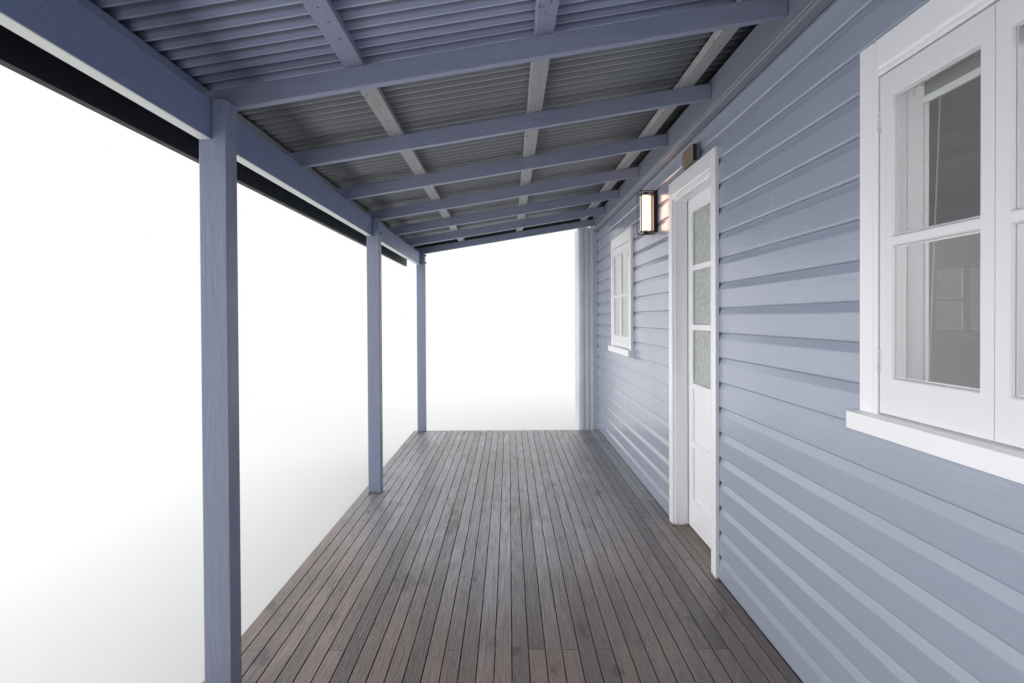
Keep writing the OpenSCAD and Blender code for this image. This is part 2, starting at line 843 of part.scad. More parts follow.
// A three-sided architrave round an opening from y0 to y1 and up to z1
module architrave(y0, y1, z0, z1, side_w, head_h, t) {
    // Stile on the near side
    translate([0, y0 - side_w, z0]) linear_extrude(z1 - z0 + head_h) trim_outline(side_w, t);
    // Stile on the far side
    translate([0, y1 + side_w, z0]) linear_extrude(z1 - z0 + head_h)
        mirror([0, 1]) trim_outline(side_w, t);
    // Head between the stiles
    translate([0, y0, z1 + head_h]) rotate([-90, 0, 0])
        linear_extrude(y1 - y0) trim_outline(head_h, t);
}

// Door frame: jambs and head with their stops, and the architrave planted on the boards
module door_frame() color("#dedee3") placed() {
    difference() {
        block([0, hole_y0, floor_h], [wall_in, hole_y1, hole_top]);
        block([stop_x, rebate_y0, floor_h - far], [wall_in + far, rebate_y1, rebate_top]);
        block([-far, clear_y0, floor_h - far], [wall_in + far, clear_y1, clear_top]);
    }
    architrave(clear_y0 - trim_margin, clear_y1 + trim_margin, trim_foot,
        clear_top + trim_margin, door_trim_w, door_head_h, trim_t);
}

// Bare timber sill between the jambs
module door_sill() color("#7a7064") placed()
    block([0, clear_y0, floor_h], [wall_in, clear_y1, sill_top]);

module door_leaf() color("#e6e6ea") placed() {
    difference() {
        block([leaf_x0, leaf_y0, leaf_foot], [wall_in, leaf_y1, leaf_top]);
        for (i = [0:panel_count - 1])
            block([leaf_x0 - far, leaf_y0 + stile_w, panel_z(i)],
                [wall_in + far, leaf_y1 - stile_w, panel_z(i) + panel_h]);
    }
    x = (leaf_x0 + wall_in - panel_t) / 2;
    for (i = [0:solid_panels - 1])
        block([x, leaf_y0 + stile_w, panel_z(i)],
            [x + panel_t, leaf_y1 - stile_w, panel_z(i) + panel_h]);
}

module door_glass() color("#aeb4ae", 0.6) placed() {
    x = (leaf_x0 + wall_in - glass_t) / 2;
    for (i = [solid_panels:panel_count - 1])
        block([x, leaf_y0 + stile_w, panel_z(i)],
            [x + glass_t, leaf_y1 - stile_w, panel_z(i) + panel_h]);
}

// A knob on each face of the leaf, each on its rose
module door_knobs() color("#3a3634") placed()
    for (m = [0, 1])
        translate([m == 0 ? leaf_x0 : wall_in, knob_y, floor_h + knob_h])
            rotate([0, m == 0 ? -90 : 90, 0])
                rotate_extrude($fn = 64)
                    polygon([
                        [0, 0], [knob_d * 0.5, 0], [knob_d * 0.5, 3], [knob_d * 0.2, 7],
                        [knob_d * 0.17, knob_reach * 0.45], [knob_d * 0.36, knob_reach * 0.55],
                        [knob_d * 0.5, knob_reach * 0.75], [knob_d * 0.4, knob_reach * 0.94],
                        [knob_d * 0.15, knob_reach], [0, knob_reach]
                    ]);

// House side of the hinges: leaf on the jamb, end knuckles and pin
module door_hinges() color("#d8d8da") placed()
    for (i = [0:hinge_count - 1])
        translate([0, 0, hinge_z(i)]) {
            block([wall_in - hinge_leaf_w, rebate_y1 - hinge_leaf_t, 0],
                [wall_in, rebate_y1, hinge_h]);
            for (z = [0, 2 * knuckle_h])
                block([wall_in, rebate_y1 - hinge_leaf_t, z],
                    [pin_x, rebate_y1, z + knuckle_h]);
            translate([pin_x, pin_y, 0]) {
                cylinder(r = knuckle_r, h = knuckle_h, $fn = 48);
                translate([0, 0, 2 * knuckle_h]) cylinder(r = knuckle_r, h = knuckle_h, $fn = 48);
                cylinder(r = pin_r, h = hinge_h, $fn = 48);
            }
        }

// Door side of the hinges: leaf on the edge of the door and middle knuckle
module hinge_leaves() color("#d8d8da") placed()
    for (i = [0:hinge_count - 1])
        translate([0, 0, hinge_z(i)])
            difference() {
                union() {
                    block([wall_in - hinge_leaf_w, leaf_y1, 0],
                        [wall_in, leaf_y1 + hinge_leaf_t, hinge_h]);
                    block([wall_in, leaf_y1, knuckle_h + pin_play],
                        [pin_x, leaf_y1 + hinge_leaf_t, 2 * knuckle_h - pin_play]);
                    translate([pin_x, pin_y, knuckle_h + pin_play])
                        cylinder(r = knuckle_r, h = knuckle_h - 2 * pin_play, $fn = 48);
                }
                translate([pin_x, pin_y, -far])
                    cylinder(r = pin_r + pin_play, h = hinge_h + 2 * far, $fn = 48);
            }

// Windows, drawn with the boards' flat face at x = 0 and the middle at y = 0
module window_frame_shape() {
    jamb_y = window_w / 2;
    out_y = jamb_y + window_jamb_t;
    difference() {
        block([0, -out_y, window_z0], [wall_in, out_y, window_z1 + window_jamb_t]);
        block([-far, -jamb_y, window_z0 - far], [wall_in + far, jamb_y, window_z1]);
    }
    // Stop behind the sashes
    difference() {
        block([window_stop_x, -jamb_y, window_z0],
            [window_stop_x + window_stop_w, jamb_y, window_z1]);
        block([window_stop_x - far, -jamb_y + window_stop_w, window_z0 + window_stop_w],
            [window_stop_x + far, jamb_y - window_stop_w, window_z1 - window_stop_w]);
    }
    trim_y = jamb_y + window_margin;
    architrave(-trim_y, trim_y, window_z0 - sill_fall, window_z1 + window_margin,
        window_trim_w, window_head_h, window_trim_t);
    // Sill through the wall, with its sloped ears in front of the boards
    ear_y = trim_y + window_trim_w + sill_ear;
    block([0, -out_y, window_z0 - sill_t], [wall_in, out_y, window_z0]);
    along_y(-ear_y, ear_y)
        polygon([
            [0, window_z0 - sill_t], [0, window_z0],
            [-sill_out, window_z0 - sill_fall], [-sill_out, window_z0 - sill_t]
        ]);
}

module window_sash_shape() {
    x0 = -sash_proud;
    x1 = x0 + sash_t;
    for (s = [-1, 1]) {
        y0 = s < 0 ? -sash_gap / 2 - sash_w : sash_gap / 2;
        y1 = y0 + sash_w;
        difference() {
            block([x0, y0, sash_z0], [x1, y1, sash_z0 + sash_h]);
            block([x0 - far, pane_y0(s), sash_z0 + sash_bottom_h],
                [x1 + far, pane_y0(s) + pane_w, bar_z]);
            block([x0 - far, pane_y0(s), bar_z + sash_bar_h],
                [x1 + far, pane_y0(s) + pane_w, sash_z0 + sash_h - sash_top_h]);
        }
    }
}

module window_glass_shape() {
    x0 = -sash_proud + glass_recess;
    for (s = [-1, 1]) {
        y0 = pane_y0(s);
        block([x0, y0, sash_z0 + sash_bottom_h], [x0 + glass_t, y0 + pane_w, bar_z]);
        block([x0, y0, bar_z + sash_bar_h],
            [x0 + glass_t, y0 + pane_w, sash_z0 + sash_h - sash_top_h]);
    }
}

module window_frames() color("#dedee3") placed() at_all_windows() window_frame_shape();

module window_sashes() color("#e8e8ec") placed() at_all_windows() window_sash_shape();

module window_glass() color("#9fb0b4", 0.5) placed() at_all_windows() window_glass_shape();

// Roller blind at the head of the near window, between the jambs
module roller_blind() color("#e9e9ea") placed() {
    y = near_window_y;
    half = window_w / 2;
    blind_gap = 1;
    x = window_stop_x + window_stop_w + blind_d / 2 + blind_gap;
    translate([x, y + half, window_z1 - blind_d / 2]) rotate([90, 0, 0])
        cylinder(d = blind_d, h = 2 * half, $fn = 48);
}

// Lantern: back plate, top and foot plates and four corner bars round the glass
lantern_bar = 10;
lantern_plate = 8;
lantern_back = 27;
lantern_inset = 2;
lantern_in_h = lantern_h - 2 * lantern_plate;

module at_lantern() {
    translate([-lantern_d, lantern_y - lantern_w / 2, floor_h + lantern_z]) children();
}

module wall_lantern() color("#18191b") placed() at_lantern() {
    clear_w = lantern_w - 2 * lantern_bar;
    difference() {
        cube([lantern_d, lantern_w, lantern_h]);
        translate([-far, lantern_bar, lantern_plate])
            cube([far + lantern_d - lantern_back, clear_w, lantern_in_h]);
        translate([lantern_bar, -far, lantern_plate])
            cube([lantern_d - 2 * lantern_bar - lantern_back, lantern_w + 2 * far, lantern_in_h]);
    }
}

module lantern_glass() color("#fff3e0") placed() at_lantern() {
    edge = lantern_bar + lantern_inset;
    translate([edge, edge, lantern_plate])
        cube([lantern_d - lantern_back - edge - lantern_inset, lantern_w - 2 * edge, lantern_in_h]);
}

// Bare board over the door, on a smaller block that holds it off the wall
plaque_block_t = 24;
plaque_inset = 25;

module name_board() color("#6a5646") placed() {
    z0 = clear_top + trim_margin + door_head_h;
    y0 = plaque_y - plaque_w / 2;
    y1 = plaque_y + plaque_w / 2;
    block([-plaque_t - plaque_block_t, y0, z0], [-plaque_block_t, y1, z0 + plaque_rise]);
    block([-plaque_block_t, y0 + plaque_inset, z0],
        [0, y1 - plaque_inset, z0 + plaque_rise - plaque_inset]);
}

// Closed cupboard clad in ribbed sheet, at the far end of the verandah
module ribbed_cupboard() color("#8f99b3") placed() {
    y0 = v_last + cupboard_gap;
    face_x = -cupboard_w + cupboard_rib_d;
    face_y0 = y0 + cupboard_rib_d;
    face_y1 = y0 + cupboard_l - cupboard_rib_d;
    rib_w = cupboard_rib * 0.6;
    first = cupboard_rib * 0.2;
    block([face_x, face_y0, 0], [0, face_y1, cupboard_h]);
    // Ribs of the near and far faces
    for (i = [0:floor(-face_x / cupboard_rib) - 1])
        translate([face_x + first + i * cupboard_rib, y0, 0])
            cube([rib_w, cupboard_l, cupboard_h]);
    // Ribs of the front face
    for (i = [0:floor((face_y1 - face_y0) / cupboard_rib) - 1])
        translate([-cupboard_w, face_y0 + first + i * cupboard_rib, 0])
            cube([cupboard_w, rib_w, cupboard_h]);
}

stumps();
bearers();
joists();
floor();
base_boards();
front_wall_near();
front_wall_far();
front_wall_over_door();
back_wall();
end_walls();
front_boards();
back_boards();
end_boards();
corner_boards();
ceiling();
roof_rafters();
roof_battens();
roof_sheets();
ridge_cap();
barge_boards();
eave_linings();
fascias();
gutters();
deck_boards();
verandah_posts();
verandah_beam();
verandah_rafters();
verandah_battens();
verandah_roof();
rafter_ledger();
door_frame();
door_sill();
door_leaf();
door_glass();
door_knobs();
door_hinges();
hinge_leaves();
window_frames();
window_sashes();
window_glass();
roller_blind();
wall_lantern();
lantern_glass();
name_board();
ribbed_cupboard();
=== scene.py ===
import json
import logging
import math
from collections.abc import Callable, Iterable, Iterator, Mapping, Sequence
from contextlib import contextmanager
from dataclasses import dataclass
from enum import Enum

import bmesh
import bpy
from mathutils import Euler, Matrix, Vector

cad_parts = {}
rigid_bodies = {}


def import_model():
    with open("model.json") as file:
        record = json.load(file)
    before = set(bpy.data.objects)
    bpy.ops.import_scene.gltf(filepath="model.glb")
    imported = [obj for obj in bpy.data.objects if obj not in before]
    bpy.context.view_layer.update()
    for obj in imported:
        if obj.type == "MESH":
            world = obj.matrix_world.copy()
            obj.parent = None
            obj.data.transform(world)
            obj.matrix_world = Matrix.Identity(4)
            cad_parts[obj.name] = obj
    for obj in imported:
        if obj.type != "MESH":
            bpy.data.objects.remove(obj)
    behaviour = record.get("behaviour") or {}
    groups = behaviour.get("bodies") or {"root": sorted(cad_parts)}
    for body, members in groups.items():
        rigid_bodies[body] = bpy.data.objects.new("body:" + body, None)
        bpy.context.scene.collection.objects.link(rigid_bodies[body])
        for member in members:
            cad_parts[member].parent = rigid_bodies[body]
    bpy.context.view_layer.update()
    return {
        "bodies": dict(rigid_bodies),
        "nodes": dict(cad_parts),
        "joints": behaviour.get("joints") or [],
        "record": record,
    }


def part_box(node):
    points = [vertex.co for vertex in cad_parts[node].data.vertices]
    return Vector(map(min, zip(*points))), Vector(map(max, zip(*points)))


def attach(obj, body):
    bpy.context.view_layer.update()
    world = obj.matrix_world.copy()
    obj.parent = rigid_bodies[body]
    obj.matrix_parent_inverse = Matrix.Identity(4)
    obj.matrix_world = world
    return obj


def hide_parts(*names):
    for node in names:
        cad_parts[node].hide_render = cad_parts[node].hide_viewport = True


LOG = logging.getLogger("beach_house")

Node = bpy.types.Node
Socket = bpy.types.NodeSocket
Tree = bpy.types.NodeTree
Mesh = bpy.types.Mesh
Face = bpy.types.MeshPolygon
Draft = bmesh.types.BMesh
Piece = bpy.types.Object
Material = bpy.types.Material

Pair = tuple[float, float]
Row = tuple[float, ...]
Point = tuple[float, float, float]
Colour = tuple[float, float, float]
Pane = tuple[float, float, float, float]
Span = tuple[Point, Point]
Outline = Sequence[Pair]
Value = float | int | bool | Sequence[float] | Socket | bpy.types.ID
Inputs = dict[int | str, Value]
Sockets = Mapping[str, Socket]

MM = 0.001
WELD = 2e-5
QUARTER = math.radians(90)


class Along(Enum):
    """The way that grain, brush marks or boards run."""

    X = (0.03, 1.0, 1.0)
    Y = (1.0, 0.03, 1.0)
    Z = (1.0, 1.0, 0.03)
    ANY = (1.0, 1.0, 1.0)


class Mark(Enum):
    """Marks of the finishes: their size, and the noise where each starts and is full."""

    BRUSH = (420.0, 0.36, 0.66)
    GRAIN = (90.0, 0.42, 0.70)
    FADED = (2.3, 0.38, 0.66)
    RUBBED = (62.0, 0.46, 0.68)
    DENT = (34.0, 0.63, 0.68)
    BOARD_GRAIN = (150.0, 0.34, 0.68)
    FIBRE = (620.0, 0.38, 0.64)
    STAIN = (1.5, 0.36, 0.68)
    BLOT = (9.0, 0.60, 0.72)
    DULL_ZINC = (1.7, 0.38, 0.66)
    RAIN_RUN = (60.0, 0.40, 0.68)
    SPECK = (160.0, 0.55, 0.75)
    ORANGE_PEEL = (900.0, 0.40, 0.62)
    WORN_COAT = (14.0, 0.45, 0.75)
    SMEAR = (9.0, 0.45, 0.80)
    GLASS_REFLECTION = (34.0, 0.35, 0.65)
    OPAL_CLOUD = (40.0, 0.30, 0.80)
    SLUB = (12.0, 0.40, 0.70)


def hue(red: int, green: int, blue: int) -> Colour:
    """A linear colour from display values of 0 to 255.

    Args:
        red: Red on the display.
        green: Green on the display.
        blue: Blue on the display.

    Returns:
        The same colour in linear light.
    """
    shares = (red / 255, green / 255, blue / 255)
    return tuple(share / 12.92 if share <= 0.04045 else ((share + 0.055) / 1.055) ** 2.4
                 for share in shares)


def shade(colour: Colour, factor: float) -> Colour:
    """The colour made darker or lighter by a factor."""
    return tuple(min(1.0, part * factor) for part in colour)


def eased(colour: Colour, share: float, base: float) -> Colour:
    """A share of each part of a colour or a stretch, on top of a base."""
    return tuple(share * part + base for part in colour)


# Node trees


class Graph:
    """Adds nodes to one node tree and links them."""

    def __init__(self, tree: Tree) -> None:
        """Keeps the tree that the nodes go into."""
        self.tree = tree

    def add(self, kind: str, inputs: Inputs | None = None, **settings: str | bool) -> Node:
        """Adds one node.

        Args:
            kind: Type name of the node.
            inputs: Values or sockets by input number or name.
            settings: Properties of the node.

        Returns:
            The node.
        """
        node = self.tree.nodes.new(kind)
        for name, value in settings.items():
            setattr(node, name, value)
        for key, value in (inputs or {}).items():
            self.feed(node.inputs[key], value)
        return node

    def made(self, kind: str, inputs: Inputs | None = None, **settings: str | bool) -> Socket:
        """The first output of a new node."""
        return self.add(kind, inputs, **settings).outputs[0]

    def feed(self, socket: Socket, value: Value) -> None:
        """Links a socket into an input, or sets its value.

        Args:
            socket: The input.
            value: Another node's output, or a plain value.
        """
        if isinstance(value, Socket):
            self.tree.links.new(value, socket)
        elif isinstance(socket.default_value, bpy.types.bpy_prop_array) and len(value) == 3 \
                and len(socket.default_value) == 4:
            socket.default_value = (*value, 1.0)
        else:
            socket.default_value = value

    def math(self, operation: str, first: Value, second: Value = 0.0) -> Socket:
        """The result of a Math node."""
        return self.made("ShaderNodeMath", {0: first, 1: second}, operation=operation)

    def product(self, first: Value, second: Value) -> Socket:
        """Two values multiplied."""
        return self.math("MULTIPLY", first, second)

    def total(self, first: Value, second: Value) -> Socket:
        """Two values added."""
        return self.math("ADD", first, second)

    def less(self, first: Value, second: Value) -> Socket:
        """The first value less the second."""
        return self.math("SUBTRACT", first, second)

    def ratio(self, first: Value, second: Value) -> Socket:
        """The first value divided by the second."""
        return self.math("DIVIDE", first, second)

    def vector(self, x: Value = 0.0, y: Value = 0.0, z: Value = 0.0) -> Socket:
        """A vector from three values."""
        return self.made("ShaderNodeCombineXYZ", {0: x, 1: y, 2: z})

    def part(self, vector: Value, axis: int) -> Socket:
        """One part of a vector."""
        return self.add("ShaderNodeSeparateXYZ", {0: vector}).outputs[axis]

    def vectors(self, operation: str, *terms: Value) -> Node:
        """The node of a sum with vectors."""
        return self.add("ShaderNodeVectorMath", dict(enumerate(terms)), operation=operation)

    def blend(self, factor: Value, first: Value, second: Value) -> Socket:
        """A colour between two colours."""
        node = self.add("ShaderNodeMix", {0: factor, 6: first, 7: second}, data_type="RGBA")
        return node.outputs[2]

    def remap(self, value: Value, low: Value, high: Value) -> Socket:
        """A value's smooth way from 0 at one level to 1 at another."""
        return self.made("ShaderNodeMapRange", {0: value, 1: low, 2: high},
                         interpolation_type="SMOOTHSTEP")

    def noise(self, place: Value, scale: Value, detail: Value = 2.0, rough: Value = 0.5) -> Socket:
        """The value of a Noise Texture."""
        return self.made("ShaderNodeTexNoise", {
            "Vector": place, "Scale": scale, "Detail": detail, "Roughness": rough})

    def random(self, low: float, high: float, index: Value, seed: Value) -> Socket:
        """A random value for each index."""
        node = self.add("FunctionNodeRandomValue", {2: low, 3: high, 7: index, 8: seed},
                        data_type="FLOAT")
        return node.outputs[1]

    def either(self, factor: Value, first: Node, second: Node) -> Node:
        """One shader or the other, or a mix of them."""
        return self.add("ShaderNodeMixShader",
                        {0: factor, 1: first.outputs[0], 2: second.outputs[0]})


def open_tree(name: str, kind: str, output: tuple[str, str],
              **inputs: Sequence[str]) -> tuple[Graph, Sockets, Socket]:
    """Starts a node group with named sockets.

    Args:
        name: Name of the group.
        kind: Type name of the tree.
        output: Name and kind of the output.
        inputs: Names of the inputs of each kind.

    Returns:
        The graph, what its inputs give and the socket of its output.
    """
    tree = bpy.data.node_groups.new(name, kind)
    sockets = [(label, socket, "INPUT") for socket, labels in inputs.items() for label in labels]
    for label, socket, way in (*sockets, (*output, "OUTPUT")):
        tree.interface.new_socket(name=label, in_out=way, socket_type=f"NodeSocket{socket}")
    graph = Graph(tree)
    return graph, graph.add("NodeGroupInput").outputs, graph.add("NodeGroupOutput").inputs[0]


# Shared effects


class Effects:
    """The shader groups of more than one finish, each built once and placed in materials."""

    def __init__(self) -> None:
        """Builds each group once."""
        self.streaks = self._noisy("streaks", 5.0, 0.62)
        self.patches = self._noisy("patches", 4.0, 0.55)
        self.courses = self._courses()
        self.foot_wear = self._foot_wear()
        self.saw_marks = self._saw_marks()

    @staticmethod
    def _start(name: str, vectors: Sequence[str],
               values: Sequence[str]) -> tuple[Graph, Sockets, Socket]:
        """Starts a group that makes a mask from vectors and values."""
        return open_tree(name, "ShaderNodeTree", ("Mask", "Float"), Vector=vectors, Float=values)

    def _noisy(self, name: str, detail: float, rough: float) -> Tree:
        """Streaks, such as grain and brush marks, or patches, such as dust and faded paint.

        Args:
            name: Name of the group.
            detail: Detail of the noise.
            rough: Roughness of the noise.

        Returns:
            The group.
        """
        graph, given, mask = self._start(name, ("Place", "Stretch"), ("Size", "Low", "High"))
        drawn = graph.vectors("MULTIPLY", given["Place"], given["Stretch"]).outputs[0]
        value = graph.noise(drawn, given["Size"], detail, rough)
        graph.feed(mask, graph.remap(value, given["Low"], given["High"]))
        return graph.tree

    def _courses(self) -> Tree:
        """A tone for each course of boards, from its height.

        Returns:
            The group.
        """
        graph, given, mask = self._start("courses", ("Place",), ("Foot", "Pitch"))
        raised = graph.less(graph.part(given["Place"], 2), given["Foot"])
        number = graph.math("FLOOR", graph.ratio(raised, given["Pitch"]))
        tone = graph.add("ShaderNodeTexWhiteNoise", {1: number}, noise_dimensions="1D")
        graph.feed(mask, tone.outputs[0])
        return graph.tree

    def _foot_wear(self) -> Tree:
        """Wear and dirt that fades with height above a foot.

        Returns:
            The group.
        """
        graph, given, mask = self._start("foot_wear", ("Place",), ("Foot", "Reach"))
        raised = graph.less(graph.part(given["Place"], 2), given["Foot"])
        broken = graph.noise(given["Place"], 38.0, 5.0, 0.65)
        edge = graph.total(graph.ratio(raised, given["Reach"]), graph.product(broken, -1.6))
        graph.feed(mask, graph.remap(edge, 0.1, -0.7))
        return graph.tree

    def _saw_marks(self) -> Tree:
        """Fine marks of the saw across a length of sawn timber.

        Returns:
            The group.
        """
        graph, given, mask = self._start("saw_marks", ("Place", "Axis"), ("Pitch",))
        run = graph.vectors("DOT_PRODUCT", given["Place"], given["Axis"]).outputs["Value"]
        sway = graph.product(graph.noise(given["Place"], 3.0), 0.02)
        waves = graph.ratio(graph.total(run, sway), given["Pitch"])
        sine = graph.math("SINE", graph.product(waves, math.tau))
        broken = graph.noise(given["Place"], 22.0, 3.0, 0.6)
        graph.feed(mask, graph.product(graph.remap(sine, 0.2, 1.0),
                                       graph.remap(broken, 0.4, 0.75)))
        return graph.tree


class Coat:
    """A material while a finish is laid on it, with its shader and its colour so far."""

    def __init__(self, effects: Effects, name: str) -> None:
        """Starts the material with a Principled shader.

        Args:
            effects: The shared shader groups.
            name: The material's name.
        """
        self.effects = effects
        self.material = bpy.data.materials.new(name)
        self.material.use_nodes = True
        self.graph = Graph(self.material.node_tree)
        self.shader = self.material.node_tree.nodes["Principled BSDF"]
        self.place = self.graph.add("ShaderNodeTexCoord").outputs["Object"]
        self.colour: Value = (1.0, 1.0, 1.0)

    def effect(self, tree: Tree, **inputs: Value) -> Socket:
        """Places an effect group.

        Args:
            tree: The effect group.
            inputs: Values or sockets by input name. The place is the object's own if not given.

        Returns:
            The mask that the group puts out.
        """
        node = self.graph.add("ShaderNodeGroup")
        node.node_tree = tree
        for name, value in {"Place": self.place, **inputs}.items():
            self.graph.feed(node.inputs[name], value)
        return node.outputs[0]

    def marks(self, tree: Tree, mark: Mark, stretch: Point, **place: Value) -> Socket:
        """The mask of one kind of mark."""
        size, low, high = mark.value
        return self.effect(tree, Stretch=stretch, Size=size, Low=low, High=high, **place)

    def streaks(self, mark: Mark, stretch: Point, **place: Value) -> Socket:
        """A mask of long fine streaks."""
        return self.marks(self.effects.streaks, mark, stretch, **place)

    def patches(self, mark: Mark, stretch: Point = Along.ANY.value) -> Socket:
        """A mask of soft patches."""
        return self.marks(self.effects.patches, mark, stretch)

    def over(self, mask: Value, share: float, colour: Value) -> None:
        """Lays a colour over the colour so far, where the mask is and by a share."""
        self.colour = self.graph.blend(self.graph.product(mask, share), self.colour, colour)

    def end(self, inputs: dict[str, Value],
            layers: Sequence[tuple[Socket, float, float]] = ()) -> None:
        """Feeds the shader its colour, its other inputs and its relief.

        Args:
            inputs: Values or sockets by input name.
            layers: Height, strength and depth in metres of each layer of the relief.
        """
        relief: dict[str, Value] = {}
        for height, strength, depth in layers:
            relief = {"Normal": self.graph.made("ShaderNodeBump", {
                "Height": height, "Strength": strength, "Distance": depth, **relief})}
        for name, value in {"Base Color": self.colour, **inputs, **relief}.items():
            self.graph.feed(self.shader.inputs[name], value)

    def surface(self, shader: Node) -> None:
        """Puts another shader on the surface."""
        output = self.material.node_tree.nodes["Material Output"]
        self.graph.feed(output.inputs[0], shader.outputs[0])


# Finishes


class Finish:
    """A finish that is laid on a material of its own."""

    def lay(self, coat: Coat) -> None:
        """Lays the finish."""
        raise NotImplementedError

    def material(self, effects: Effects, name: str) -> Material:
        """Builds the material.

        Args:
            effects: The shared shader groups.
            name: Name of the material.

        Returns:
            The material.
        """
        coat = Coat(effects, name)
        self.lay(coat)
        return coat.material


@dataclass(frozen=True)
class PaintedTimber(Finish):
    """Brushed paint on timber, with the grain and the saw's marks below it."""

    colour: Colour
    along: Along
    rough: float = 0.42
    tone_spread: float = 0.05
    grain: float = 0.12
    brush: float = 0.12
    saw: float = 0.0
    saw_pitch: float = 0.0052
    dent_shade_and_knots: float = 0.0
    rubbed: float = 0.0
    sheen: float = 0.5
    course_foot: float = 0.0
    course_pitch: float = 0.0
    worn: Colour = (0.20, 0.18, 0.16)
    worn_foot: float = 0.0
    worn_reach: float = 0.0
    fade: float = 0.05

    def lay(self, coat: Coat) -> None:
        """Lays the paint, its marks and its wear.

        Args:
            coat: The material.
        """
        graph, stretch, colour = coat.graph, self.along.value, self.colour
        brush, grain = coat.streaks(Mark.BRUSH, stretch), coat.streaks(Mark.GRAIN, stretch)
        patch = coat.patches(Mark.FADED)
        coat.colour = colour
        coat.over(grain, self.grain, shade(colour, 0.80))
        coat.over(brush, self.brush * 0.5, shade(colour, 1.12))
        coat.over(patch, self.fade, eased(colour, 0.5, 0.22))
        if self.course_pitch:
            tone = coat.effect(coat.effects.courses, Foot=self.course_foot,
                               Pitch=self.course_pitch)
            coat.over(tone, self.tone_spread * 2, shade(colour, 0.62))
        layers = [(grain, 0.5 * self.grain, 0.0012), (brush, self.brush, 0.0003)]
        if self.rubbed:
            rub = coat.streaks(Mark.RUBBED, eased(stretch, 0.9, 0.1))
            coat.over(rub, self.rubbed, eased(colour, 0.75, 0.10))
            layers.append((rub, self.rubbed, 0.0012))
        # Dark spots for dents and knots: knot colour, and painted shade in the dents.
        if self.dent_shade_and_knots:
            coat.over(coat.patches(Mark.DENT), self.dent_shade_and_knots, shade(colour, 0.25))
        if self.worn_reach:
            worn = coat.effect(coat.effects.foot_wear, Foot=self.worn_foot,
                               Reach=self.worn_reach)
            coat.over(worn, 1.0, self.worn)
        if self.saw:
            run = tuple(float(part < 0.5) for part in stretch)
            marks = coat.effect(coat.effects.saw_marks, Axis=run, Pitch=self.saw_pitch)
            layers.append((marks, self.saw, 0.0006))
        shine = graph.total(graph.product(brush, 0.3 * self.brush), graph.product(patch, 0.06))
        coat.end({"Roughness": graph.total(self.rough - 0.06, shine),
                  "Specular IOR Level": self.sheen}, layers)


@dataclass(frozen=True)
class BareTimber(Finish):
    """Unpainted boards, each with its own tone, grain and stains."""

    pale: Colour
    dark: Colour
    along: Along
    rough: float = 0.6
    stain: float = 0.5
    gloss_coat: float = 0.0
    # The oiled colours lie beside a pale strip that is partly weathering and partly a painted
    # reflection of the sky on the deck's sheen; middle is minus the x of its line, near the
    # camera's x.
    oiled_pale: Colour = (0.0, 0.0, 0.0)
    oiled_dark: Colour = (0.0, 0.0, 0.0)
    oil_and_sheen_edge: Pair = (0.0, 0.0)
    middle: float = 3.45

    def lay(self, coat: Coat) -> None:
        """Lays the boards' tones, the oil that is left on them beside a pale strip of painted
        sheen, grain and stains.

        Args:
            coat: The material.
        """
        graph, stretch, place = coat.graph, self.along.value, coat.place
        tone = graph.add("ShaderNodeAttribute", attribute_name="board_tone").outputs["Fac"]
        shift = graph.vectors("ADD", place, graph.vector(
            graph.product(tone, 7.0), graph.product(tone, 13.0), tone)).outputs[0]
        grain = coat.streaks(Mark.BOARD_GRAIN, stretch, Place=shift)
        fibre = coat.streaks(Mark.FIBRE, stretch, Place=shift)
        coat.colour = graph.blend(tone, self.pale, self.dark)
        # Oiled boards at the sides and the near end; between them a pale strip that widens away
        # from x = -middle, partly a painted reflection of the sky on the sheen.
        if self.oil_and_sheen_edge[0] != self.oil_and_sheen_edge[1]:
            side = graph.math("ABSOLUTE", graph.total(graph.part(place, 0), self.middle))
            reach = graph.less(graph.part(place, 1), graph.product(side, 1.6))
            worn = graph.product(graph.noise(place, 2.6, 3.0, 0.6), 0.9)
            oil_beside_sheen = graph.remap(graph.total(reach, worn), *self.oil_and_sheen_edge)
            coat.over(oil_beside_sheen, 1.0, graph.blend(tone, self.oiled_pale, self.oiled_dark))
        coat.over(grain, 0.60, shade(self.dark, 0.45))
        coat.over(fibre, 0.22, shade(self.pale, 1.35))
        coat.over(coat.patches(Mark.STAIN), self.stain * 0.5, shade(self.dark, 0.7))
        blot = coat.patches(Mark.BLOT, eased(stretch, 0.7, 0.3))
        coat.over(blot, self.stain, shade(self.dark, 0.35))
        coat.end({"Roughness": graph.total(self.rough - 0.1, graph.product(grain, 0.2)),
                  "Coat Weight": self.gloss_coat},
                 [(grain, 0.5, 0.0010), (fibre, 0.45, 0.0004)])


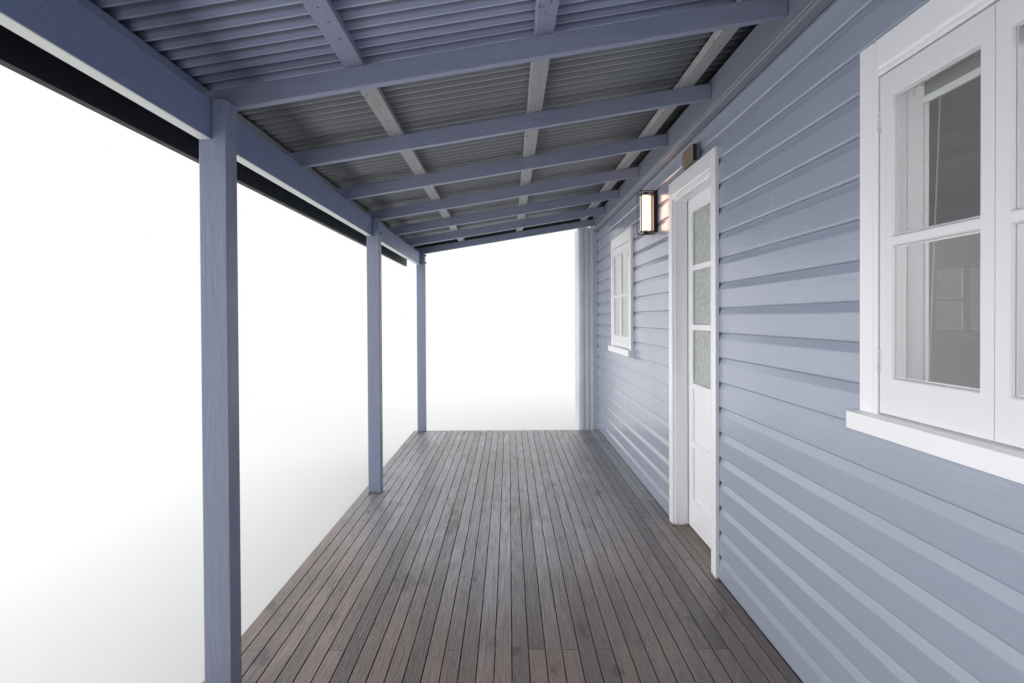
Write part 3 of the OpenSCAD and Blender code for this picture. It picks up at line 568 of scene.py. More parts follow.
@dataclass(frozen=True)
class SheetSteel(Finish):
    """Folded or corrugated sheet, with dirt, painted shade and dull zinc in its valleys and
    painted highlights on its ridges.
    """

    colour: Colour
    wave_start: float = 0.0
    wave_pitch: float = 0.076
    rough: float = 0.45
    metal: float = 0.35
    valley: float = 0.6
    worn_ridge: float = 0.55
    side: int = 1
    dirt_and_shade: Colour = (0.050, 0.042, 0.034)

    def lay(self, coat: Coat) -> None:
        """Lays zinc, dirt and painted shade in the valleys, rain runs, and worn ridges with a
        painted highlight.

        Args:
            coat: The material.
        """
        graph, colour = coat.graph, self.colour
        turns = graph.ratio(graph.less(graph.part(coat.place, 1), self.wave_start),
                            self.wave_pitch)
        sine = graph.math("SINE", graph.product(turns, self.side * math.tau))
        patch, speck = coat.patches(Mark.DULL_ZINC), coat.patches(Mark.SPECK)
        run = coat.streaks(Mark.RAIN_RUN, Along.X.value)
        # Darker valleys: dirt, and painted shade between the waves.
        dirt_and_shade = graph.product(graph.remap(sine, -0.25, 0.9), graph.product(
            self.valley, graph.total(0.65, graph.product(run, 0.35))))
        coat.colour = colour
        coat.over(patch, 0.35, shade(colour, 0.72))
        coat.over(dirt_and_shade, 1.0, self.dirt_and_shade)
        coat.over(run, 0.16, shade(colour, 1.45))
        # A thin light line at each ridge: wear, and a painted highlight where the ridge catches
        # the light.
        coat.over(graph.remap(sine, -0.86, -0.985), self.worn_ridge, shade(colour, 2.0))
        coat.over(speck, 0.18, shade(colour, 0.5))
        dull = graph.product(graph.total(patch, dirt_and_shade), 0.14)
        coat.end({"Roughness": graph.total(self.rough, dull), "Metallic": self.metal},
                 [(patch, 0.12, 0.002), (speck, 0.10, 0.0003)])


@dataclass(frozen=True)
class CoatedMetal(Finish):
    """Painted, powder coated or aged metal on a small piece."""

    colour: Colour
    rough: float = 0.4
    metal: float = 0.0
    wear: Colour = (0.12, 0.10, 0.08)
    wear_share: float = 0.1
    sheen: float = 0.5

    def lay(self, coat: Coat) -> None:
        """Lays the coat, its fine orange peel and its worn patches.

        Args:
            coat: The material.
        """
        peel, patch = coat.patches(Mark.ORANGE_PEEL), coat.patches(Mark.WORN_COAT)
        coat.colour = self.colour
        coat.over(patch, self.wear_share, self.wear)
        coat.over(peel, 0.10, shade(self.colour, 1.3))
        coat.end({"Roughness": coat.graph.total(self.rough, coat.graph.product(patch, 0.15)),
                  "Metallic": self.metal, "Specular IOR Level": self.sheen},
                 [(peel, 0.10, 0.0002)])


@dataclass(frozen=True)
class WindowGlass(Finish):
    """Glass that lets the daylight through and mirrors what stands before it."""

    tint: Colour
    rough: float = 0.0
    ripple: float = 0.0
    ripple_size: float = 60.0
    film: float = 0.08
    film_colour: Colour = (0.52, 0.55, 0.54)
    reflection_cloud: float = 0.0

    def lay(self, coat: Coat) -> None:
        """Lays the glass, its ripples, and the film of dust or frost on it, with darker patches in
        the film that are painted reflections.

        Args:
            coat: The material.
        """
        graph, smear = coat.graph, coat.patches(Mark.SMEAR)
        coat.colour = self.tint
        coat.over(smear, 0.05, shade(self.tint, 0.85))
        coat.end({"Roughness": graph.total(self.rough, graph.product(smear, 0.03)),
                  "Transmission Weight": 1.0, "IOR": 1.45},
                 [(graph.noise(coat.place, self.ripple_size), 0.02 + self.ripple,
                   0.001 + 0.003 * self.ripple)])
        # Darker patches in the film: painted reflections of the dark surroundings in the glass.
        reflection_clouds = graph.product(coat.patches(Mark.GLASS_REFLECTION), self.reflection_cloud)
        film = graph.add("ShaderNodeBsdfDiffuse", {
            0: graph.blend(reflection_clouds, self.film_colour, shade(self.film_colour, 0.35))})
        clear = graph.add("ShaderNodeBsdfTransparent", {0: self.tint})
        rays = graph.add("ShaderNodeLightPath").outputs
        passing = graph.math("MAXIMUM", rays["Is Shadow Ray"], rays["Is Diffuse Ray"])
        coat.surface(graph.either(passing, graph.either(self.film, coat.shader, film), clear))


@dataclass(frozen=True)
class LitOpalGlass(Finish):
    """Opal glass with a warm lamp behind it, brightest at its middle."""

    colour: Colour
    edge: Colour
    cast: Colour
    glow: float
    seen_glow: float
    middle_z: float
    half_height: float

    def lay(self, coat: Coat) -> None:
        """Lays the glass and its light, which is warmer on the wall than in the tube.

        Args:
            coat: The material.
        """
        graph = coat.graph
        off = graph.math("ABSOLUTE", graph.less(graph.part(coat.place, 2), self.middle_z))
        fall = graph.remap(off, self.half_height * 0.2, self.half_height * 1.2)
        rim = graph.add("ShaderNodeLayerWeight", {0: 0.35}).outputs["Facing"]
        coat.colour = self.colour
        coat.over(graph.math("MAXIMUM", fall, rim), 0.8, self.edge)
        coat.over(coat.patches(Mark.OPAL_CLOUD), 0.10, self.edge)
        seen = graph.add("ShaderNodeLightPath").outputs["Is Camera Ray"]
        dimmed = graph.product(seen, self.glow - self.seen_glow)
        coat.end({"Emission Color": graph.blend(seen, self.cast, coat.colour),
                  "Emission Strength": graph.less(self.glow, dimmed), "Roughness": 0.25})


@dataclass(frozen=True)
class BlindCloth(Finish):
    """Closely woven blind cloth."""

    colour: Colour
    thread: float = 0.0009

    def lay(self, coat: Coat) -> None:
        """Lays the cloth and its weave.

        Args:
            coat: The material.
        """
        graph = coat.graph
        warp, weft = (graph.math("SINE", graph.product(graph.part(coat.place, axis),
                                                       math.tau / self.thread))
                      for axis in (1, 2))
        weave = graph.remap(graph.total(warp, weft), -1.5, 1.5)
        coat.colour = self.colour
        coat.over(weave, 0.2, shade(self.colour, 0.8))
        coat.over(coat.patches(Mark.SLUB), 0.15, shade(self.colour, 0.9))
        coat.end({"Roughness": 0.8, "Sheen Weight": 0.15}, [(weave, 0.3, 0.0003)])


@dataclass(frozen=True)
class StudioFloor(Finish):
    """A plain pale floor that fades to white where nothing stands on it."""

    tone: float = 0.80
    fade_from: float = 6.0
    fade_to: float = 12.0

    def lay(self, coat: Coat) -> None:
        """Lays the tone and the fade.

        Args:
            coat: The material.
        """
        graph = coat.graph
        coat.colour = (self.tone,) * 3
        coat.end({"Roughness": 0.9, "Specular IOR Level": 0.1})
        reach = graph.vectors("LENGTH", coat.place).outputs["Value"]
        far = graph.remap(reach, self.fade_from, self.fade_to)
        rays = graph.add("ShaderNodeLightPath").outputs
        seen = graph.math("MAXIMUM", rays["Is Camera Ray"], graph.math(
            "MAXIMUM", rays["Is Glossy Ray"], rays["Is Transmission Ray"]))
        white = graph.add("ShaderNodeEmission", {0: (1.0, 1.0, 1.0), 1: 1.0})
        coat.surface(graph.either(graph.product(far, seen), coat.shader, white))


# Meshes


def new_piece(mesh: Mesh, name: str, material: Material | None = None) -> Piece:
    """Puts a mesh into the scene as a piece, with one material.

    Args:
        mesh: The mesh, already at its place.
        name: Name of the piece.
        material: Finish of the whole piece, if it isn't already on the mesh.

    Returns:
        The piece.
    """
    mesh.name = name
    piece = bpy.data.objects.new(name, mesh)
    bpy.context.scene.collection.objects.link(piece)
    if material is not None:
        mesh.materials.clear()
        mesh.materials.append(material)
    return piece


def mesh_from(points: Iterable[Point], faces: Iterable[Sequence[int]]) -> Mesh:
    """A mesh from points and faces.

    Args:
        points: The corners.
        faces: Corner numbers of each face.

    Returns:
        The mesh.
    """
    mesh = bpy.data.meshes.new("draft")
    mesh.from_pydata([tuple(point) for point in points], [], [tuple(face) for face in faces])
    mesh.validate()
    return mesh


def moved(mesh: Mesh, place: Matrix) -> Mesh:
    """The mesh, moved to its place."""
    mesh.transform(place)
    return mesh


@contextmanager
def editing(mesh: Mesh) -> Iterator[Draft]:
    """Opens a mesh for editing and writes it back at the end.

    Args:
        mesh: The mesh.

    Yields:
        The draft to edit.
    """
    draft = bmesh.new()
    draft.from_mesh(mesh)
    yield draft
    draft.to_mesh(mesh)
    draft.free()


def merged(meshes: Sequence[Mesh]) -> Mesh:
    """One mesh from several, which are used up, with the finishes of the first.

    Args:
        meshes: The meshes.

    Returns:
        The whole.
    """
    whole = bpy.data.meshes.new("draft")
    with editing(whole) as draft:
        for mesh in meshes:
            draft.from_mesh(mesh)
    for slot in meshes[0].materials:
        whole.materials.append(slot)
    for mesh in meshes:
        bpy.data.meshes.remove(mesh)
    return whole


def block_mesh(low: Point, high: Point, bevel: float = 0.0) -> Mesh:
    """A box between two corners, with softened edges.

    Args:
        low: Lowest corner.
        high: Highest corner.
        bevel: Width of the softened edges in metres.

    Returns:
        The mesh.
    """
    mesh = bpy.data.meshes.new("block")
    size = [b - a for a, b in zip(low, high)]
    middle = [(a + b) / 2 for a, b in zip(low, high)]
    with editing(mesh) as draft:
        bmesh.ops.create_cube(draft, size=1.0, matrix=Matrix.Translation(middle)
                              @ Matrix.Diagonal((*size, 1.0)))
        if bevel:
            soften_edges(draft, bevel, 2)
    return mesh


def soften_edges(draft: Draft, width: float, segments: int) -> None:
    """Rounds the sharp edges of a closed mesh and sets which faces are smooth.

    Args:
        draft: The mesh.
        width: Width of the rounding in metres.
        segments: Faces across the rounding.
    """
    sharp, slight = math.radians(32), math.radians(0.8)
    hard, curved = [], set()
    for edge in draft.edges:
        angle = edge.calc_face_angle(0.0)
        if angle > sharp:
            hard.append(edge)
        elif angle > slight:
            curved.update(edge.link_faces)
    for face in draft.faces:
        face.smooth = face in curved
    if hard and width:
        made = bmesh.ops.bevel(draft, geom=hard, offset=width, offset_type="OFFSET",
                               segments=segments, profile=0.5, affect="EDGES",
                               clamp_overlap=True, miter_outer="SHARP")
        for face in made["faces"]:
            face.smooth = True


def applied(piece: Piece) -> Mesh:
    """The mesh that a draft's modifiers make. The draft is removed.

    Args:
        piece: The draft, with its modifiers.

    Returns:
        The mesh.
    """
    mesh = bpy.data.meshes.new_from_object(
        piece.evaluated_get(bpy.context.evaluated_depsgraph_get()))
    bpy.data.objects.remove(piece)
    return mesh


def carved(mesh: Mesh, holes: Sequence[Span]) -> Mesh:
    """Cuts box-shaped holes through closed boards.

    Args:
        mesh: The boards.
        holes: Lowest and highest corner of each hole.

    Returns:
        The boards, with their holes.
    """
    cutter = new_piece(merged([block_mesh(low, high) for low, high in holes]), "cutter")
    piece = new_piece(mesh, "uncut")
    modifier = piece.modifiers.new("cut", "BOOLEAN")
    modifier.operation, modifier.solver, modifier.object = "DIFFERENCE", "EXACT", cutter
    cut = applied(piece)
    bpy.data.objects.remove(cutter)
    return cut


def trimmed(mesh: Mesh, planes: Sequence[Span]) -> Mesh:
    """Cuts away what lies beyond planes and closes the cut boards again.

    Args:
        mesh: The boards.
        planes: A point and an outward direction of each plane.

    Returns:
        The boards, trimmed.
    """
    with editing(mesh) as draft:
        for place, outward in planes:
            cut = bmesh.ops.bisect_plane(
                draft, geom=[*draft.verts, *draft.edges, *draft.faces], dist=1e-6,
                plane_co=place, plane_no=outward, clear_outer=True)
            rim = [part for part in cut["geom_cut"] if isinstance(part, bmesh.types.BMEdge)]
            bmesh.ops.holes_fill(draft, edges=[edge for edge in rim if edge.is_boundary], sides=0)
    return mesh


def crisp(mesh: Mesh, least: float) -> Mesh:
    """Shades wide faces flat and leaves narrow, curved ones smooth.

    Args:
        mesh: The mesh.
        least: Least width of a face that is flat, in metres.

    Returns:
        The mesh.
    """
    with editing(mesh) as draft:
        for face in draft.faces:
            longest = max(edge.calc_length() for edge in face.edges)
            face.smooth = len(face.edges) == 4 and face.calc_area() < least * longest
    return mesh


def repaint(piece: Piece, finish: Material, chosen: Callable[[Face], bool]) -> None:
    """Gives the chosen faces of a piece a finish of their own.

    Args:
        piece: The piece.
        finish: The finish.
        chosen: Tells whether a face is meant.
    """
    piece.data.materials.append(finish)
    for face in piece.data.polygons:
        if chosen(face):
            face.material_index = len(piece.data.materials) - 1


def lathed(outline: Outline, sides: int) -> Mesh:
    """A small turned shape about Z, closed at both ends.

    Args:
        outline: Radius and height of each ring, from the foot to the top.
        sides: Faces around the shape.

    Returns:
        The mesh.
    """
    points = [(radius * math.cos(math.tau * side / sides),
               radius * math.sin(math.tau * side / sides), height)
              for radius, height in outline for side in range(sides)]
    faces = []
    for ring in range(0, (len(outline) - 1) * sides, sides):
        for side in range(sides):
            after = (side + 1) % sides
            faces.append((ring + side, ring + after, ring + sides + after, ring + sides + side))
    faces.append(tuple(reversed(range(sides))))
    faces.append(tuple((len(outline) - 1) * sides + side for side in range(sides)))
    mesh = mesh_from(points, faces)
    mesh.polygons.foreach_set("use_smooth", [len(face.vertices) == 4 for face in mesh.polygons])
    return mesh


def rod(start: Point, end: Point, radius: float, sides: int = 12) -> Mesh:
    """A round rod between two points.

    Args:
        start: Middle of one end.
        end: Middle of the other end.
        radius: Its radius.
        sides: How many sides it has.

    Returns:
        The mesh.
    """
    along = Vector(end) - Vector(start)
    turn = along.to_track_quat("Z", "Y").to_matrix().to_4x4()
    return moved(lathed([(radius, 0.0), (radius, along.length)], sides),
                 Matrix.Translation(start) @ turn)


def bead_ring(place: Matrix, face_x: float, pane: Pane, width: float, depth: float) -> Mesh:
    """A mitred bead or putty fillet round a pane, sloping from the sash to the glass.

    Args:
        place: Where the frame goes that the other places are given in.
        face_x: Where the bead meets the face of the sash.
        pane: Near side, far side, foot and head of the pane.
        width: How far the bead reaches over the pane.
        depth: How far it leans in along x.

    Returns:
        The mesh, a closed ring.
    """
    section = [(0.0, 0.0), (0.25, 0.10), (0.62, 0.48), (0.95, 0.92), (1.0, 1.0), (0.0, 1.0)]
    near, far, foot, head = pane
    corners = [(near, foot, 1, 1), (far, foot, -1, 1), (far, head, -1, -1), (near, head, 1, -1)]
    points = [(face_x + lean * depth, y + in_y * reach * width, z + in_z * reach * width)
              for y, z, in_y, in_z in corners for reach, lean in section]
    size, whole = len(section), len(points)
    faces = [(corner + step, (corner + size) % whole + step,
              (corner + size) % whole + (step + 1) % size, corner + (step + 1) % size)
             for corner in range(0, whole, size) for step in range(size)]
    mesh = mesh_from(points, faces)
    with editing(mesh) as draft:
        bmesh.ops.recalc_face_normals(draft, faces=draft.faces)
    return moved(mesh, place)


# Trees for what repeats


class Repeater:
    """Geometry node trees for boards, roof sheets and small fixings."""

    def __init__(self) -> None:
        """Builds each tree once."""
        self.boards_tree = self._boards_tree()
        self.sheets_tree = self._sheets_tree()
        self.copies_tree = self._copies_tree()

    @staticmethod
    def _open(name: str, **inputs: Sequence[str]) -> tuple[Graph, Sockets, Socket]:
        """Starts a geometry tree that takes a host and a finish."""
        return open_tree(name, "GeometryNodeTree", ("Geometry", "Geometry"),
                         Geometry=("Geometry",), **inputs, Material=("Finish",))

    @staticmethod
    def _close(graph: Graph, given: Sockets, out: Socket, geometry: Socket) -> Tree:
        """Ends a tree with real meshes in the finish that it was given.

        Args:
            graph: The tree's graph.
            given: What the tree was given.
            out: The tree's output.
            geometry: What it makes.

        Returns:
            The tree.
        """
        real = graph.made("GeometryNodeRealizeInstances", {0: geometry})
        graph.feed(out, graph.made("GeometryNodeSetMaterial", {0: real, 2: given["Finish"]}))
        return graph.tree

    def _boards_tree(self) -> Tree:
        """Courses of boards along X, each cut into lengths that meet over joists.

        Returns:
            The tree. Its host is one board's outline as a closed curve.
        """
        graph, given, out = self._open(
            "courses_of_boards", Int=("Courses", "Seed"), Vector=("Start", "Step"),
            Float=("Length", "Joist pitch", "First joist", "Joint gap"), Bool=("Jointed",))
        rows = graph.made("GeometryNodeMeshLine", {
            0: given["Courses"], 2: given["Start"], 3: given["Step"]}, mode="OFFSET")
        line = graph.made("GeometryNodeCurvePrimitiveLine",
                          {0: (0.0, 0.0, 0.0), 1: (1.0, 0.0, 0.0)})
        index = graph.made("GeometryNodeInputIndex")

        def joint(low: float, high: float, salt: float) -> Socket:
            """Place of a joint, on a joist somewhere between two shares of the length."""
            share = graph.random(low, high, index, graph.total(given["Seed"], salt))
            reach = graph.product(share, given["Length"])
            joists = graph.math("ROUND", graph.ratio(reach, given["Joist pitch"]))
            return graph.total(given["First joist"],
                               graph.product(joists, given["Joist pitch"]))

        first, second = joint(0.14, 0.42, 1.0), joint(0.56, 0.86, 2.0)
        gap = given["Joint gap"]
        first_end = graph.made("GeometryNodeSwitch", {
            0: given["Jointed"], 1: given["Length"], 2: graph.less(first, gap)},
            input_type="FLOAT")
        join = graph.add("GeometryNodeJoinGeometry")
        for start, end, chosen in ((0.0, first_end, True),
                                   (first, graph.less(second, gap), given["Jointed"]),
                                   (second, given["Length"], given["Jointed"])):
            shifted = graph.made("GeometryNodeSetPosition", {0: rows, 3: graph.vector(start)})
            length = graph.vector(graph.less(end, start), 1.0, 1.0)
            graph.feed(join.inputs[0], graph.made("GeometryNodeInstanceOnPoints", {
                0: shifted, 1: chosen, 2: line, 6: length}))
        lines = graph.made("GeometryNodeRealizeInstances", {0: join.outputs[0]})
        solid = graph.made("GeometryNodeCurveToMesh", {0: lines, 1: given["Geometry"], 3: True})
        island = graph.made("GeometryNodeInputMeshIsland")
        tone = graph.random(0.0, 1.0, island, given["Seed"])
        toned = graph.made("GeometryNodeStoreNamedAttribute", {
            0: solid, 2: "board_tone", 3: tone}, data_type="FLOAT", domain="FACE")
        return self._close(graph, given, out, toned)

    def _sheets_tree(self) -> Tree:
        """Lapped corrugated sheets that run along X and stand side by side along Y.

        Returns:
            The tree. Its host is empty.
        """
        graph, given, out = self._open(
            "lapped_sheets", Int=("Sheets", "Waves", "Cover waves", "Steps", "Rows"),
            Float=("Start", "Pitch", "Depth", "Thickness", "Length"))
        pitch, thickness = given["Pitch"], given["Thickness"]
        width = graph.product(given["Waves"], pitch)
        columns = graph.total(graph.product(given["Waves"], given["Steps"]), 1.0)
        grid = graph.made("GeometryNodeMeshGrid", {
            0: given["Length"], 1: width, 2: given["Rows"], 3: columns})
        corner = graph.vector(graph.product(given["Length"], 0.5), graph.product(width, 0.5))
        shifted = graph.made("GeometryNodeTransform", {0: grid, 1: corner})
        across = graph.part(graph.made("GeometryNodeInputPosition"), 1)
        sine = graph.math("SINE", graph.product(graph.ratio(across, pitch), math.tau))
        wave = graph.product(graph.total(sine, 1.0), graph.product(given["Depth"], 0.5))
        lap = graph.product(graph.ratio(across, width), graph.product(thickness, 1.2))
        waved = graph.made("GeometryNodeSetPosition", {
            0: shifted, 3: graph.vector(z=graph.total(wave, lap))})
        both = graph.add("GeometryNodeJoinGeometry")
        graph.feed(both.inputs[0], graph.made("GeometryNodeFlipFaces", {0: waved}))
        graph.feed(both.inputs[0], graph.made("GeometryNodeExtrudeMesh", {
            0: waved, 2: graph.vector(z=thickness), 3: 1.0, 4: False}, mode="FACES"))
        sheet = graph.made("GeometryNodeMergeByDistance", {0: both.outputs[0], 2: 1e-5})
        cover = graph.product(given["Cover waves"], pitch)
        places = graph.made("GeometryNodeMeshLine", {
            0: given["Sheets"], 2: graph.vector(y=given["Start"]), 3: graph.vector(y=cover)},
            mode="OFFSET")
        laid = graph.made("GeometryNodeInstanceOnPoints", {0: places, 2: sheet})
        smooth = graph.made("GeometryNodeSetShadeSmooth", {
            0: graph.made("GeometryNodeRealizeInstances", {0: laid}), 2: True})
        return self._close(graph, given, out, smooth)

    def _copies_tree(self) -> Tree:
        """Copies of one small fixing on the points of the host, each turned as stored there.

        Returns:
            The tree. Its host is a mesh of points with the attribute turn.
        """
        graph, given, out = self._open("copies_on_points", Object=("Fixing",))
        fixing = graph.add("GeometryNodeObjectInfo", {0: given["Fixing"]},
                           transform_space="ORIGINAL").outputs["Geometry"]
        turn = graph.made("GeometryNodeInputNamedAttribute", {0: "turn"},
                          data_type="FLOAT_VECTOR")
        return self._close(graph, given, out, graph.made("GeometryNodeInstanceOnPoints", {
            0: given["Geometry"], 2: fixing, 5: turn}))

    @staticmethod
    def _grown(host: Piece, tree: Tree, values: dict[str, Value]) -> Mesh:
        """Runs a tree on a host once and keeps the result as a plain mesh.

        Args:
            host: The object that the tree starts from. It is removed.
            tree: The tree.
            values: The tree's inputs by name.

        Returns:
            The mesh.
        """
        modifier = host.modifiers.new("grow", "NODES")
        modifier.node_group = tree
        for item in tree.interface.items_tree:
            if item.in_out == "INPUT" and item.name in values:
                modifier[item.identifier] = values[item.name]
        return applied(host)

    def boards(self, outline: Outline, values: dict[str, Value], place: Matrix,
               finish: Material) -> Mesh:
        """Courses of boards at their place.

        Args:
            outline: Section of one board in metres, y and z, turning left.
            values: The tree's inputs by name.
            place: Where the courses go.
            finish: Finish of the boards.

        Returns:
            The mesh.
        """
        curve = bpy.data.curves.new("outline", "CURVE")
        curve.dimensions = "3D"
        spline = curve.splines.new("POLY")
        spline.points.add(len(outline) - 1)
        for point, (y, z) in zip(spline.points, outline):
            point.co = (-y, -z, 0.0, 1.0)
        spline.use_cyclic_u = True
        host = bpy.data.objects.new("outline", curve)
        bpy.context.scene.collection.objects.link(host)
        mesh = self._grown(host, self.boards_tree, {**values, "Finish": finish})
        return crisp(moved(mesh, place), 4.5 * MM)

    def sheets(self, values: dict[str, Value], place: Matrix, finish: Material) -> Mesh:
        """Lapped sheets at their place.

        Args:
            values: The tree's inputs by name.
            place: Where the sheets go.
            finish: Finish of the sheets.

        Returns:
            The mesh.
        """
        host = new_piece(bpy.data.meshes.new("sheets"), "sheets_host")
        return moved(self._grown(host, self.sheets_tree, {**values, "Finish": finish}), place)

    def copies(self, fixing: Mesh, places: Sequence[Span], finish: Material) -> Mesh:
        """One small fixing set at many places.

        Args:
            fixing: Mesh of the fixing, which is used up.
            places: Place and turn of each copy.
            finish: Finish of the copies.

        Returns:
            The mesh.
        """
        pattern = new_piece(fixing, "fixing")
        points = mesh_from([place for place, _ in places], [])
        turn = points.attributes.new("turn", "FLOAT_VECTOR", "POINT")
        turn.data.foreach_set("vector", [part for _, angles in places for part in angles])
        mesh = self._grown(new_piece(points, "fixing_host"), self.copies_tree,
                           {"Fixing": pattern, "Finish": finish})
        bpy.data.objects.remove(pattern)
        if "turn" in mesh.attributes:
            mesh.attributes.remove(mesh.attributes["turn"])
        return mesh


# What every sub-assembly works with


@dataclass(frozen=True)
class Plan:
    """Places and pitches that more than one sub-assembly goes by."""

    length: float = 9.550
    depth: float = 6.500
    floor_z: float = 0.300
    verandah_low_y: float = -4.290
    front_windows: Row = (-2.425, 2.425)
    back_windows: Row = (-2.425, 0.0, 2.425)
    end_windows: Row = (1.755, 4.745)
    battens: Row = (-0.164, -0.916, -1.603, -2.191)
    main_pitch: float = math.radians(22.5)
    verandah_pitch: float = math.radians(9.18)


@dataclass
class Site:
    """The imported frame, the finishes, the plan and the makers of repeated pieces."""

    nodes: dict[str, Piece]
    finishes: dict[str, Material]
    repeater: Repeater
    face_x: float
    plan: Plan = Plan()

    def at(self, x: float, y: float, z: float) -> Point:
        """A point given from the front boards' face, the middle and the ground."""
        return self.face_x + x, y, z

    def frame(self, x: float, y: float, z: float, angle: float, axis: str = "Z") -> Matrix:
        """A place given as for at, turned by an angle about an axis."""
        return Matrix.Translation(self.at(x, y, z)) @ Matrix.Rotation(angle, 4, axis)

    def block(self, low: Point, high: Point, bevel: float = 0.0) -> Mesh:
        """A box between two corners given as for at."""
        return block_mesh(self.at(*low), self.at(*high), bevel)

    def rod(self, start: Point, end: Point, radius: float, sides: int = 12) -> Mesh:
        """A round rod between two points given as for at."""
        return rod(self.at(*start), self.at(*end), radius, sides)

    def add(self, mesh: Mesh, name: str, slot: str, *nodes: str, finish: str = "",
            body: str = "house") -> Piece:
        """Puts a mesh into the scene as a piece that rides its body.

        Args:
            mesh: The mesh, already at its place.
            name: Name of the piece.
            slot: The record's material slot, which is not used.
            nodes: CAD nodes that it stands for.
            finish: Name of its finish, if that isn't already on the mesh.
            body: The body that carries it.

        Returns:
            The piece.
        """
        piece = new_piece(mesh, name, self.finishes[finish] if finish else None)
        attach(piece, body)
        if nodes:
            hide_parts(*nodes)
        LOG.info("%s on %s: %d faces", piece.name, body, len(piece.data.polygons))
        return piece

    def soften(self, node: str, slot: str, width: float, finish: str = "", segments: int = 2,
               body: str = "house") -> Piece:
        """Replaces a CAD node by a copy with its edges rounded as paint and wear leave them.

        Args:
            node: The node.
            slot: The record's material slot.
            width: Width of the rounding in millimetres.
            finish: Name of its finish, where that isn't the slot's.
            segments: Faces across the rounding.
            body: The body that carries it.

        Returns:
            The piece.
        """
        mesh = bpy.data.meshes.new("softened")
        with editing(mesh) as draft:
            draft.from_mesh(self.nodes[node].data)
            bmesh.ops.remove_doubles(draft, verts=draft.verts, dist=WELD)
            bmesh.ops.dissolve_limit(draft, angle_limit=math.radians(0.5), verts=draft.verts,
                                     edges=draft.edges, use_dissolve_boundaries=False)
            soften_edges(draft, width * MM, segments)
        return self.add(mesh, f"{node}_piece", slot, node, finish=finish or slot, body=body)

    def paint(self, node: str, finish: str) -> None:
        """Gives a CAD node that keeps its shape a finish.

        Args:
            node: The node.
            finish: Name of the finish.
        """
        materials = self.nodes[node].data.materials
        materials.clear()
        materials.append(self.finishes[finish])

    def copy(self, fixing: Mesh, places: Sequence[Span], name: str, slot: str,
             finish: str) -> Piece:
        """Sets one small fixing at many places, as one piece."""
        return self.add(self.repeater.copies(fixing, places, self.finishes[finish]), name, slot)


# Sub-assemblies


